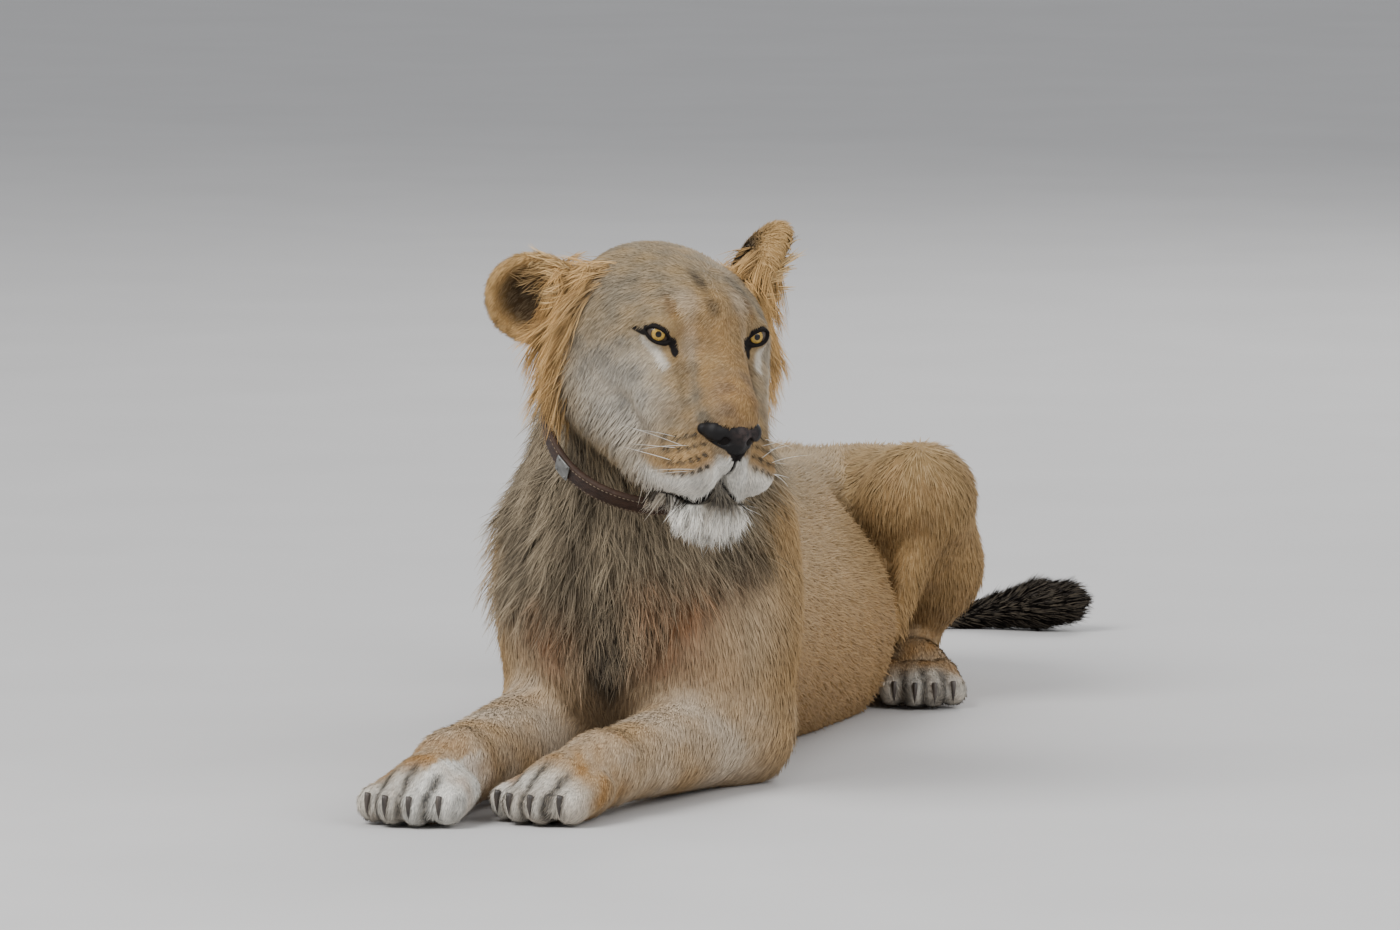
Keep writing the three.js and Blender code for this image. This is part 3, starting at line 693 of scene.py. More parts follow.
# Each region's short coat: a tuft's length and width, how far its tip lifts, skin area to each.
COATS = {
    "head": (9, 1.4, 0.16, 6.8), "cheek": (10, 1.5, 0.17, 7.2), "bridge": (6, 1.2, 0.12, 4.5),
    "pad": (7, 1.3, 0.18, 4.5), "jaw": (18, 2.2, 0.3, 12), "chin": (12, 1.8, 0.35, 8),
    "ear": (9, 1.6, 0.25, 7), "ruff": (24, 2.4, 0.35, 15), "neck": (18, 2.0, 0.22, 17),
    "chest": (17, 1.9, 0.16, 17), "back": (21, 2.1, 0.12, 22), "flank": (21, 2.1, 0.12, 22),
    "upper_arm": (18, 2.0, 0.14, 18), "forearm": (14, 1.9, 0.15, 15), "fore_paw": (8, 1.5, 0.18, 9),
    "thigh": (19, 2.0, 0.12, 23), "shank": (14, 1.9, 0.14, 18), "hind_paw": (8, 1.5, 0.18, 9),
    "tail": (16, 2.4, 0.2, 16), "tuft": (24, 2.4, 0.4, 15),
}
FACE = ("head", "cheek", "bridge", "pad", "jaw", "chin")


def clouds(points, size, seed):
    """A smooth wandering value from -1 to 1 with lumps of the given size."""
    rng = np.random.default_rng(seed)
    total = np.zeros(len(points))
    for octave in (1.0, 0.55, 0.3):
        for _ in range(4):
            way = unit(rng.normal(size=3)) * 2 * np.pi / (size * octave * rng.uniform(1.6, 2.6))
            total += octave * np.sin(points @ way + rng.uniform(0, 6.3))
    return np.clip(total / 3.2, -1, 1)


def region_weights(points, masses):
    """How much each region owns each point, and the blended lie of the coat."""
    nearest = np.full(len(points), 1e3)
    found = []
    for mass in masses:
        if mass.hollow:
            continue
        n = near(mass, points, 40)
        if len(n):
            d = mass.distance(points[n])
            found.append((mass, n, d))
            nearest[n] = np.minimum(nearest[n], d)
    weights = {part: np.zeros(len(points)) for part in COATS}
    lie, total = np.zeros((len(points), 3)), np.full(len(points), 1e-9)
    for mass, n, d in found:
        w = np.exp(-(d - nearest[n]) / 9)
        weights[mass.part][n] += w
        lie[n] += w[:, None] * mass.lie
        total[n] += w
    return {part: w / total for part, w in weights.items()}, lie / total[:, None]


def laid(lie, normals):
    """The lie of the coat brought into the plane of the skin."""
    fall = -UP + normals * normals[:, 2:]
    flat = lie - normals * (lie * normals).sum(1, keepdims=True)
    weak = np.linalg.norm(flat, axis=1, keepdims=True) < 0.2
    return unit(np.where(weak, flat + fall * 0.4, flat))


def spot(local, centre, radii, soft=0.5, paired=False):
    """1 inside an ellipsoid of the local frame, fading to 0 over its soft edge."""
    at = np.stack([local[:, 0], np.abs(local[:, 1]), local[:, 2]], 1) if paired else local
    away = np.linalg.norm((at - centre) / radii, axis=1)
    return 1 - ramp(away, 1 - soft, 1 + soft)


# The eye openings, in degrees out from the head's forward line and up, seen from each eyeball.
EYE_SET = {"left": (10, 9), "right": (28, 5)}
EYE_LOOK = {"left": (-4, 11), "right": (24, 9)}
EYE_HALF_WIDTH = 43
EYE_CORNERS = (-13, 7)
EYE_BOWS = (23, 16)


def round_eye(h, side, s):
    """Distance from one eyeball's centre, and degrees outward and up, of points in the head frame."""
    e = from_eye(h, s)
    out = np.degrees(np.arctan2(e[:, 1], e[:, 0])) - EYE_SET[side][0]
    rise = np.degrees(np.arctan2(e[:, 2], np.hypot(e[:, 0], e[:, 1]))) - EYE_SET[side][1]
    return np.linalg.norm(e, axis=1), out, rise


def eye_edge(out, rise):
    """Degrees to the edge of the eye opening, negative inside, and the place from inner corner to outer."""
    t = (out + EYE_HALF_WIDTH) / (2 * EYE_HALF_WIDTH)
    inner, outer = EYE_CORNERS
    middle = inner + (outer - inner) * t
    bow = np.clip(4 * t * (1 - t), 0, 1)
    above = rise - middle - EYE_BOWS[0] * bow ** 0.7
    below = middle - EYE_BOWS[1] * bow ** 0.8 - rise
    edge = np.maximum(above, below)
    beyond = np.abs(out) - EYE_HALF_WIDTH
    return np.where(beyond > 0, np.hypot(beyond, np.maximum(edge, 0)), edge), t


LIP_MIDDLE = -132
LIP_FALL = 35


def lip_height(side):
    """Height of the lip line in the head frame, at a distance to the side."""
    return LIP_MIDDLE - LIP_FALL * (1 - np.exp(-side / 14))


def whisker_roots():
    """Places of the whisker spots on one pad, as distances to the side and up."""
    return [(30 + 8.5 * n, -85 - 10.5 * row - 0.35 * (8.5 * n)) for row in range(4) for n in range(5)]


def lip_line(f, side, u, lip):
    """1 along the black line of the mouth and of the cleft above it, and on a dark blot at each corner of the
    mouth: black lip, enlarged as painted shade of the mouth's opening.
    """
    mouth = (f > 30) * (1 - ramp(np.abs(lip), 3.0, 5.5)) * ramp(side, 74, 62)
    # black lip at each mouth corner, enlarged as painted shade of the mouth's opening
    corner = (f > 20) * (1 - ramp(np.hypot((side - 60) / 13, (lip + 2) / 6), 0.7, 1.2))
    cleft = (f > 100) * (1 - ramp(side, 1.2, 3.0)) * (u < -98) * (u > LIP_MIDDLE - 2)
    return np.maximum.reduce([mouth, corner, cleft])


def from_eye(h, s):
    """Millimetres ahead, outward and up from an eyeball's centre."""
    return (h - (EYE_FORWARD, s * EYE_SPACING / 2, 0)) * (1, s, 1)


def eye_line(h, side, s):
    """1 on the black rim round an eye, its tear line and its outer wing."""
    r, out, rise = round_eye(h, side, s)
    edge, t = eye_edge(out, rise)
    width = 9 + 6 * ramp(t, 0.4, 0.0) + 9 * ramp(rise, 0, 14)
    rim = (r < 42) * (1 - ramp(edge, width - 1.5, width + 1.5))
    at = from_eye(h, s)
    tear = spot(at, (24, -12.5, -12), (14, 4, 8.5), 0.2)
    corner = spot(at, (22, -10.5, -6), (12, 4.5, 7), 0.2)
    wing = spot(at, (0, 24, 0.5), (16, 8, 3.8), 0.2)
    return np.maximum.reduce([rim, tear, corner, wing])


def hem_height(points):
    """Height of the mane's lower edge: a point at the breastbone, higher over each shoulder."""
    edge = np.interp(points[:, 0], [-170, -100, -18, 64, 138, 160], [204, 164, 107, 186, 233, 290])
    return edge + 14 * clouds(points, 50, 17)


def nose_seat(h):
    """1 where the bare nose lies on the skin."""
    side, u = np.abs(h[:, 1]), h[:, 2]
    return (h[:, 0] > 88) * (u < -68) * (u > -107) * (side < 33 - ramp(u, -78, -106) * 27)


class Marks:
    """The colour masks of skin and coat alike, from 0 to 1, and what they are worked out from."""

    def __init__(self, points, weights):
        self.points, self.weights = points, weights
        self.h = HEAD.local(points)
        self.side = np.abs(self.h[:, 1])
        self.on_head = sum(weights[part] for part in FACE)
        self.fine = clouds(points, 22, 4)
        self.mottle = clouds(points, 16, 11)
        self.mark = {name: np.zeros(len(points)) for name in ("warm", "grey", "gold", "rust", "pale", "dark")}

    def add(self, name, amount):
        self.mark[name] = np.clip(self.mark[name] + amount, 0, 1)

    def take(self, name, amount):
        self.mark[name] = self.mark[name] * (1 - np.clip(amount, 0, 1))

    def at_least(self, name, amount):
        self.mark[name] = np.maximum(self.mark[name], amount)


def trunk_marks(m):
    """Trunk, legs and feet, with painted shade on the upper back and in the grooves between the toes."""
    points, w, add, fine = m.points, m.weights, m.add, m.fine
    z = points[:, 2]
    drift = 0.5 + 0.5 * clouds(points, 90, 3)
    add("warm", w["flank"] * (0.3 + 0.5 * ramp(z, 260, 90)) + 0.6 * w["thigh"] * ramp(z, 330, 150))
    add("warm", 0.6 * w["upper_arm"] + 0.55 * (w["forearm"] + w["shank"]) + 0.4 * w["tail"])
    add("gold", 0.32 * w["forearm"])
    add("grey", (w["back"] + w["flank"]) * (0.08 + ramp(z, 240, 340) * (0.12 + 0.25 * drift)))
    # painted shade: the top of the back and flank darkened from the shoulders to midway along, fading out
    # before the haunch
    add("dark", (w["flank"] + w["back"]) * 0.2 * ramp(points[:, 1], 900, 500) * ramp(z, 200, 310))
    add("rust", (w["flank"] + w["thigh"] + w["shank"]) * 0.1 * ramp(fine, 0, 1))
    add("pale", w["forearm"] * (0.24 + 0.14 * clouds(points, 60, 5)))
    for side_name, s in SIDES:
        for _, on_floor, shape in feet(side_name, s):
            foot = on_floor.local(points)
            on = (w["fore_paw"] + w["hind_paw"]) * (np.abs(foot[:, 1]) < 90) * (foot[:, 0] > -20)
            ahead = ramp(foot[:, 0], shape["length"] - 46, shape["length"])
            add("warm", on * 0.75 * (1 - ahead))
            add("rust", on * 0.2 * ramp(fine, 0, 0.8))
            add("pale", on * (0.1 + 0.58 * ahead - 0.12 * fine))
            # painted shade: dark lines in the grooves between the toes
            between = sum(np.exp(-((foot[:, 1] - n * shape["step"]) / 5) ** 2) for n in (-1, 0, 1))
            under = sum(np.exp(-((foot[:, 1] - across) / 3.0) ** 2) for across, _ in toe_fan(shape))
            add("dark", on * between * ramp(ahead, 0, 0.5) * 0.95)
            add("dark", on * under * ramp(foot[:, 0], shape["length"] - 12, shape["length"] + 8) * 0.5)


def hock_painted_shade(m):
    """Painted shade over the wrinkled skin of the hock: the whole patch darkened, and darker still in painted
    stripes between its folds, which the skin's shape does not have.
    """
    points, w, add = m.points, m.weights, m.add
    for _, s in SIDES:
        local = (points - np.array(HOCK) * (s, 1, 1)) * (s, 1, 1)
        over = spot(local, (40, -110, 80), (60, 90, 52), 0.5)
        # painted shade: stripes standing for the shade between the skin's folds
        folds = np.sin((local[:, 2] + 0.35 * local[:, 1]) / 4 + 2 * clouds(points, 50, 6)) * 0.5 + 0.5
        add("dark", (w["shank"] + w["thigh"]) * over * (0.16 + folds ** 2 * 0.2))


def neck_marks(m):
    """Neck and chest: grey-brown, with rust and dark streaks toward the bottom."""
    points, w, fine = m.points, m.weights, m.fine
    add, take = m.add, m.take
    z = points[:, 2]
    above = z - hem_height(points)
    bib = ramp(above, -14, 24)
    low = bib * ramp(above, 110, 30)
    streaky = points * (1, 1, 0.25)
    add("warm", 0.35 * w["chest"] * (1 - bib))
    add("gold", 0.2 * w["chest"] * (1 - bib))
    add("pale", 0.16 * w["chest"] * (1 - bib))
    add("grey", 0.9 * w["neck"] + 0.75 * w["chest"] * bib)
    add("dark", (w["neck"] + w["chest"] * bib) * (0.1 + 0.5 * ramp(clouds(streaky, 34, 12), -0.3, 0.7)))
    front = w["chest"] + w["neck"]
    for (x, height), radii, name, amount in (((46, 222), (44, 200, 46), "rust", 0.85),
                                             ((-80, 184), (44, 200, 46), "rust", 0.75),
                                             ((50, 156), (34, 200, 28), "rust", 0.5),
                                             ((96, 290), (48, 200, 42), "dark", 0.5),
                                             ((-140, 270), (54, 200, 56), "dark", 0.4)):
        add(name, amount * front * spot(points, (x, -60, height), radii, 0.7) * (0.7 + 0.5 * fine))
    add("rust", 0.4 * w["chest"] * low * ramp(clouds(streaky, 60, 8), -0.4, 0.4))
    throat = w["chest"] * spot(points, (-30, -150, 272), (44, 200, 50), 0.6)
    add("dark", 0.35 * w["chest"] * low * ramp(clouds(streaky, 40, 9), -0.1, 0.7))
    add("dark", 0.6 * w["chest"] * spot(points, (-20, -150, 125), (34, 200, 52), 0.7))
    take("dark", 0.6 * throat)
    add("rust", 0.16 * throat)
    parting = (w["chest"] + w["neck"]) * ramp(clouds(streaky, 110, 31), 0.0, 0.7)
    take("dark", 0.7 * parting)
    add("warm", 0.6 * parting)


def skull_marks(m):
    """Skull and cheeks."""
    w, add, h, side = m.weights, m.add, m.h, m.side
    points, on_head, mottle, u = m.points, m.on_head, m.mottle, m.h[:, 2]
    blotch = clouds(points, 34, 21)
    sides = 0.32 + 0.3 * ramp(u, 5, 50) + 0.45 * ramp(side, 50, 95) + 0.3 * mottle + 0.25 * blotch
    add("grey", on_head * np.clip(sides, 0, 1))
    add("warm", on_head * 0.35 * ramp(blotch, 0.0, 0.7) * ramp(side, 100, 60))
    add("dark", on_head * (0.17 * ramp(mottle, 0.0, 0.9) + 0.16 * ramp(blotch, 0.1, 0.8)))
    add("gold", 0.7 * w["ear"] + 0.9 * w["ruff"])
    add("pale", on_head * 0.4 * spot(h, (-6, 84, -72), (80, 34, 46), 0.7, paired=True))


def ear_marks(m):
    """Ears: dark inside the cup and over the back, gold at the rim."""
    points, w, add, h = m.points, m.weights, m.add, m.h
    for side_name, s in SIDES:
        cup = EAR_FRAMES[side_name].local(points)
        on_ear = w["ear"] * (h[:, 1] * s > 0)
        inside = spot(cup, (-4, 0, 42), (26, 34, 40), 0.3)
        add("dark", on_ear * 0.85 * inside)
        add("dark", on_ear * 0.25 * ramp(cup[:, 0], -14, -24) * ramp(np.abs(cup[:, 2] - 46), 26, 12))


def brow_marks(m):
    """Brow: cream patches, a brown stroke over each inner eye, dark marks between."""
    add, take, h, on_head = m.add, m.take, m.h, m.on_head
    f = h[:, 0]
    brow = on_head * (f > -10)
    take("grey", brow * 0.8 * spot(h, (30, 0, 10), (60, 52, 50), 0.6))
    add("warm", brow * 0.5 * spot(h, (36, 0, 20), (46, 52, 44), 0.6))
    add("pale", brow * 0.15 * spot(h, (16, 32, 38), (20, 12, 13), 0.7, paired=True))
    add("pale", brow * 0.12 * spot(h, (40, 33, 2), (20, 7, 22), 0.7, paired=True))
    stroke = spot(h, (12, 48, 32), (22, 4.2, 13), 0.5, paired=True)
    take("pale", brow * stroke)
    add("warm", brow * 0.9 * stroke)
    add("dark", brow * 0.42 * stroke + on_head * 0.8 * spot(h, (-6, -7, 54), (20, 6, 15), 0.8))
    add("dark", brow * 0.65 * spot(h, (31, -5, 37), (16, 7, 9), 0.8))


def bridge_marks(m):
    """Bridge of the nose: brown, a grey streak along each side, a smear from each eye."""
    w, add, h, side = m.weights, m.add, m.h, m.side
    on_head, mottle, f, u = m.on_head, m.mottle, h[:, 0], h[:, 2]
    add("warm", w["bridge"] * 0.6 * ramp(u, 10, -25))
    add("rust", w["bridge"] * 0.3 * spot(h, (100, 0, -45), (60, 26, 30)) * (0.6 + 0.4 * mottle))
    add("dark", w["bridge"] * 0.14 * spot(h, (100, 0, -45), (60, 22, 28)) * (0.9 + 0.6 * mottle))
    streak = (f > 20) * np.exp(-((side - 29 - 0.06 * f) / 4) ** 2) * ramp(u, -80, -60) * ramp(u, 5, -15)
    add("grey", on_head * 0.45 * streak)
    smear = (f > 20) * np.exp(-((side - 40 - 0.06 * f) / 5) ** 2) * ramp(u, -75, -45) * ramp(u, -16, -26)
    add("dark", on_head * 0.4 * smear)


def pad_marks(m):
    """Pads: tan above, white below and beside the cleft, with rows of dark whisker spots."""
    w, add, take, side = m.weights, m.add, m.take, m.side
    on_head, f, u = m.on_head, m.h[:, 0], m.h[:, 2]
    white = ramp(u + 0.42 * side, -96, -112)
    add("warm", w["pad"] * 0.7 * (1 - white))
    take("grey", w["pad"])
    add("pale", w["pad"] * white * 0.95)
    add("pale", (w["bridge"] + w["pad"]) * ramp(u, -99, -106) * (f > 100) * ramp(side, 24, 14))
    for across, up in whisker_roots():
        near_spot = np.hypot((side - across) * 0.7, u - up)
        add("dark", (f > 40) * on_head * 0.8 * (1 - ramp(near_spot, 1.4, 3.2)))


def chin_marks(m):
    """Chin, jaw and the line of the mouth."""
    w, add, take, h = m.weights, m.add, m.take, m.h
    on_head, side, f, u = m.on_head, m.side, h[:, 0], h[:, 2]
    add("pale", w["chin"] + 0.25 * w["jaw"] * ramp(h[:, 0], -20, 40))
    for name in ("warm", "grey", "rust"):
        take(name, w["chin"])
    lip = u - lip_height(side)
    lower_lip = (f > 60) * on_head * ramp(u, -172, -158) * ramp(side, 30, 20) * (lip < 2) * (1 - w["pad"])
    take("pale", lower_lip)
    add("grey", lower_lip)
    add("dark", lower_lip * 0.85)
    m.at_least("dark", lip_line(f, side, u, lip) * on_head)


def eye_marks(m):
    """Round the eyes: black rims drawn out at both corners, white beneath."""
    add, take, h, on_head = m.add, m.take, m.h, m.on_head
    for side_name, s in SIDES:
        close = on_head * (h[:, 1] * s > 0)
        below = chain("head", [(4, 23, -6), (18, 7, -16), (29, -1, -28)], [3, 4.5, 4], 1)
        streak = close * (1 - ramp(below.distance(from_eye(h, s)), -4, 5))
        for name in ("grey", "warm", "dark"):
            take(name, streak)
        add("pale", streak * 0.6)
        m.at_least("dark", close * eye_line(h, side_name, s))


def masks(points, weights):
    """Every mark, in the order in which they lie over one another."""
    m = Marks(points, weights)
    trunk_marks(m)
    hock_painted_shade(m)
    neck_marks(m)
    m.add("dark", weights["tuft"] + weights["tail"] * ramp(points[:, 0], 30, 75))
    for marks in (skull_marks, ear_marks, brow_marks, bridge_marks, pad_marks, chin_marks, eye_marks):
        marks(m)
    m.at_least("dark", nose_seat(m.h) * m.on_head)
    return m.mark


# ---------------------------------------------------------------- the skin's own detail

LID_DEPTH = 2.6  # of the skin over an eyeball
LID_REACH = 22
LID_BLEND = 7
# Boxes of the head's frame in which triangles are split, row after row.
FINE_FACE = (
    [((-20, -100, -200), (180, 100, 50))],
    [((0, 26, -40), (70, 98, 34)), ((0, -98, -40), (70, -26, 34)), ((50, -66, -185), (180, 66, -60))],
    [((4, 34, -22), (70, 88, 24)), ((4, -88, -22), (70, -34, 24))],
)


def push(points, normals, amount):
    return points + normals * np.asarray(amount)[:, None]


def shape_face(points, normals):
    """Opens the eyes over the eyeballs and draws lids, lip line and nose folds."""
    h = HEAD.local(points)
    n = normals @ HEAD.rows.T
    f, side, u = h[:, 0], np.abs(h[:, 1]), h[:, 2]
    for side_name, s in SIDES:
        centre = np.array((EYE_FORWARD, s * EYE_SPACING / 2, 0))
        r, out, rise = round_eye(h, side_name, s)
        close = (r < 30) & (h[:, 0] > centre[0] - 12)
        edge, _ = eye_edge(out, rise)
        opening = (1 - ramp(edge, -3.5, 1.0)) * close
        rim = np.exp(-((edge - 5) / 4.5) ** 2) * close
        crease = np.exp(-((edge - 17) / 4) ** 2) * close * (rise > 6)
        away = h - centre
        h = centre + away * (1 + (1.1 * rim - 1.2 * crease - 8.5 * opening) / np.maximum(r, 8))[:, None]
    lip = u - lip_height(side)
    groove = np.exp(-(lip / 3.0) ** 2) * (f > 30) * ramp(side, 76, 60) * (u < -100)
    part = np.exp(-(side / 2.2) ** 2) * (f > 100) * (u < -98) * (u > LIP_MIDDLE - 6)
    h = push(h, n, -4.5 * groove - 3.0 * part)
    return HEAD.origin + h @ HEAD.rows


def lid(centre):
    """The soft shell over an eyeball, from which its lids are drawn."""

    def distance(p):
        return np.linalg.norm(p - centre, axis=-1) - EYE_RADIUS - LID_DEPTH

    lie = HEAD.direction((-0.6, 0, 0.3))
    return Mass("head", distance, centre - LID_REACH, centre + LID_REACH, LID_BLEND, lie)


class Skin:
    """The whole skin, worked out once: points, triangles, regions, lie of the coat, colours."""

    def __init__(self):
        self.masses = body_plan() + [lid(centre) for centre in EYES.values()]
        points, faces = surface_net(sample_grid(self.masses, SKIN_GRID), SKIN_GRID)
        for boxes in FINE_FACE:
            middle = HEAD.local(points[faces].mean(1))
            inside = [((middle > low) & (middle < high)).all(1) for low, high in boxes]
            points, faces = refine(points, faces, np.logical_or.reduce(inside))
        points = settle(points, self.masses)
        points = shape_face(points, slope_at(points, self.masses))
        points[:, 2] = np.maximum(points[:, 2], 0.2)
        self.points, self.faces = points, faces
        self.normals = vertex_normals(points, faces)
        self.weights, lie = region_weights(points, self.masses)
        front = ramp(points[:, 1], 60, -50)
        self.weights["chest"] += self.weights["flank"] * front
        self.weights["flank"] = self.weights["flank"] * (1 - front)
        lie += front[:, None] * (0, -0.4, -1.2)
        self.lie = laid(lie, self.normals)
        self.tint = tints(masks(points, self.weights))
        parts = list(COATS)
        strength = np.stack([self.weights[part] for part in parts], 1)
        self.region = np.array(parts)[strength[faces].sum(1).argmax(1)]

    def share(self, *parts):
        """The triangles that belong to these regions."""
        return np.nonzero(np.isin(self.region, parts))[0]


# ---------------------------------------------------------------- meshes

PATCH = 0.003  # width of one tuft's patch on the coat's map
UNFOLD_ANGLE = 66
MAP_EDGE = 0.01


def plan_shift():
    """From the body plan's millimetres to the part's frame."""
    low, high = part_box("eye_left")
    return np.array((low + high) / 2) / MM - EYES["left"]


SHIFT = plan_shift()


def to_part(points):
    return (points + SHIFT) * MM


def make_mesh(name, points, faces):
    """A mesh from points and triangles or quads, all in metres."""
    mesh = bpy.data.meshes.new(name)
    faces = np.asarray(faces, np.int32)
    sides = faces.shape[1]
    mesh.vertices.add(len(points))
    mesh.vertices.foreach_set("co", np.asarray(points, np.float32).ravel())
    mesh.loops.add(faces.size)
    mesh.loops.foreach_set("vertex_index", faces.ravel())
    mesh.polygons.add(len(faces))
    mesh.polygons.foreach_set("loop_start", np.arange(0, faces.size, sides, dtype=np.int32))
    mesh.polygons.foreach_set("use_smooth", np.ones(len(faces), bool))
    mesh.update(calc_edges=True)
    return mesh


def set_values(mesh, values):
    """Stores a number, or three, at every point."""
    for key, value in values.items():
        value = np.asarray(value, np.float32)
        kind, field = ("FLOAT", "value") if value.ndim == 1 else ("FLOAT_VECTOR", "vector")
        mesh.attributes.new(key, kind, "POINT").data.foreach_set(field, value.ravel())


def set_map(mesh, corners):
    """Stores the map of the coat, one place per corner."""
    layer = mesh.uv_layers.new(name="OFBake")
    layer.uv.foreach_set("vector", np.asarray(corners, np.float32).reshape(-1, 2).ravel())


def get_vectors(mesh, name):
    """The three numbers stored under a name at every point."""
    data = mesh.attributes[name].data
    out = np.empty(len(data) * 3, np.float32)
    data.foreach_get("vector", out)
    return out.reshape(-1, 3)


def soften(mesh, root_normals, share):
    """Turns the shading of tufts part of the way toward the skin they grow from."""
    count = len(mesh.vertices)
    own = np.empty(count * 3, np.float32)
    mesh.vertex_normals.foreach_get("vector", own)
    mesh.normals_split_custom_set_from_vertices(
        unit(own.reshape(-1, 3) * (1 - share) + root_normals * share).tolist())


def finished(name, mesh, material, replaces=()):
    """Links a piece, gives it its finish and sets it in the frame."""
    piece = bpy.data.objects.new(name, mesh)
    bpy.context.scene.collection.objects.link(piece)
    mesh.materials.clear()
    mesh.materials.append(material)
    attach(piece, "root")
    if replaces:
        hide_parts(*replaces)
    return piece


def unwrap(points, faces):
    """Unfolds triangles by their own shape; returns the places of their corners."""
    mesh = make_mesh("unfolding", points, faces)
    mesh.uv_layers.new(name="OFBake")
    helper = bpy.data.objects.new("unfolding", mesh)
    bpy.context.scene.collection.objects.link(helper)
    bpy.context.view_layer.objects.active = helper
    helper.select_set(True)
    bpy.ops.object.mode_set(mode="EDIT")
    bpy.ops.mesh.select_all(action="SELECT")
    bpy.ops.uv.smart_project(angle_limit=math.radians(UNFOLD_ANGLE), island_margin=0.001, area_weight=0.5)
    bpy.ops.object.mode_set(mode="OBJECT")
    corners = np.empty(len(faces) * 6, np.float32)
    mesh.uv_layers["OFBake"].uv.foreach_get("vector", corners)
    bpy.data.objects.remove(helper)
    bpy.data.meshes.remove(mesh)
    corners = corners.reshape(-1, 3, 2)
    low, high = corners.min((0, 1)), corners.max((0, 1))
    return MAP_EDGE + (1 - 2 * MAP_EDGE) * (corners - low) / (high - low)


def spread_out(count):
    """Places spread over the map, for parts that don't grow from the skin."""
    return np.stack([np.arange(count) / count, np.arange(count) * 0.618 % 1], 1) * 0.98


def in_space(places):
    """Places on the map with a third number, as the tuft tree adds them."""
    return np.concatenate([places, np.zeros((len(places), 1))], 1)


# ---------------------------------------------------------------- roots and tufts

MADE = {}  # the skin, worked out by its own operator and used by those of the coat


class Roots:
    """Places on the skin from which hair grows."""

    def __init__(self, skin, share, spacing, rng, keep=None):
        faces = skin.faces[share]
        used, small = np.unique(faces, return_inverse=True)
        corner_map = unwrap(to_part(skin.points[used]), small.reshape(-1, 3))
        a, b, c = (skin.points[faces[:, i]] for i in range(3))
        area = np.linalg.norm(np.cross(b - a, c - a), axis=1) / 2
        if np.ndim(spacing):
            spacing = spacing[faces].mean(1)
        chance = area / spacing
        if keep is not None:
            chance = chance * keep[faces].mean(1)
        total = int(chance.sum())
        pick = np.searchsorted(np.cumsum(chance) / chance.sum(), rng.random(total))
        pick = np.minimum(pick, len(faces) - 1)
        s, t = rng.random(total), rng.random(total)
        flip = s + t > 1
        s, t = np.where(flip, 1 - s, s), np.where(flip, 1 - t, t)
        self.bary = np.stack([1 - s - t, s, t], 1)
        self.corners = faces[pick]
        self.points = self.mean(skin.points)
        self.normals = unit(self.mean(skin.normals))
        self.lie = laid(self.mean(skin.lie), self.normals)
        self.tint = self.mean(skin.tint)
        self.map = (corner_map[pick] * self.bary[:, :, None]).sum(1)

    def mean(self, values):
        weight = self.bary if values.ndim == 1 else self.bary[:, :, None]
        return (values[self.corners] * weight).sum(1)


def tuft_mesh():
    """A closed three-sided blade along X, its root just under the skin."""
    points = [(-0.12, 0.5, -0.2), (-0.12, -0.5, -0.2), (-0.05, 0.0, 0.5), (1.0, 0.0, 0.0)]
    faces = [(0, 1, 2), (0, 2, 3), (2, 1, 3), (1, 0, 3)]
    mesh = make_mesh("tuft", points, faces)
    set_values(mesh, {"along": [0, 0, 0, 1],
                      "patch": [(0, 0, 0), (1, 0, 0), (0, 1, 0), (1, 1, 0)]})
    return mesh


def tuft_tree():
    """Sets a tuft on every root, turned to its lie, and makes one plain mesh of them."""
    tree = bpy.data.node_groups.new("Tufts on the skin", "GeometryNodeTree")
    tree.interface.new_socket("Geometry", in_out="OUTPUT", socket_type="NodeSocketGeometry")
    for label, kind in (("Roots", "Geometry"), ("Tuft", "Object"), ("Finish", "Material"),
                        ("Patch", "Float")):
        tree.interface.new_socket(label, in_out="INPUT", socket_type="NodeSocket" + kind)
    entry, leave = tree.nodes.new("NodeGroupInput"), tree.nodes.new("NodeGroupOutput")

    def node(kind, values, **settings):
        made = tree.nodes.new(kind)
        for key, value in settings.items():
            setattr(made, key, value)
        for key, value in values.items():
            if isinstance(value, bpy.types.NodeSocket):
                tree.links.new(value, made.inputs[key])
            else:
                made.inputs[key].default_value = value
        return made

    def named(name):
        kind = "GeometryNodeInputNamedAttribute"
        return node(kind, {"Name": name}, data_type="FLOAT_VECTOR").outputs["Attribute"]

    tuft = node("GeometryNodeObjectInfo", {"Object": entry.outputs["Tuft"]})
    turn = node("FunctionNodeAxesToRotation", {"Primary Axis": named("aim"), "Secondary Axis": named("rise")},
                primary_axis="X", secondary_axis="Z")
    spread = node("GeometryNodeInstanceOnPoints", {
        "Points": entry.outputs["Roots"], "Instance": tuft.outputs["Geometry"],
        "Rotation": turn.outputs["Rotation"], "Scale": named("size")})
    solid = node("GeometryNodeRealizeInstances", {"Geometry": spread.outputs["Instances"]})
    scaled = node("ShaderNodeVectorMath", {0: named("patch")}, operation="SCALE")
    tree.links.new(entry.outputs["Patch"], scaled.inputs["Scale"])
    place = node("ShaderNodeVectorMath", {0: named("root"), 1: scaled.outputs[0]}, operation="ADD")
    mapped = node("GeometryNodeStoreNamedAttribute",
                  {"Geometry": solid.outputs["Geometry"], "Name": "OFBake", "Value": place.outputs[0]},
                  data_type="FLOAT2", domain="CORNER")
    smooth = node("GeometryNodeSetShadeSmooth", {"Geometry": mapped.outputs["Geometry"]})
    coated = node("GeometryNodeSetMaterial",
                  {"Geometry": smooth.outputs["Geometry"], "Material": entry.outputs["Finish"]})
    tree.links.new(coated.outputs["Geometry"], leave.inputs[0])
    return tree


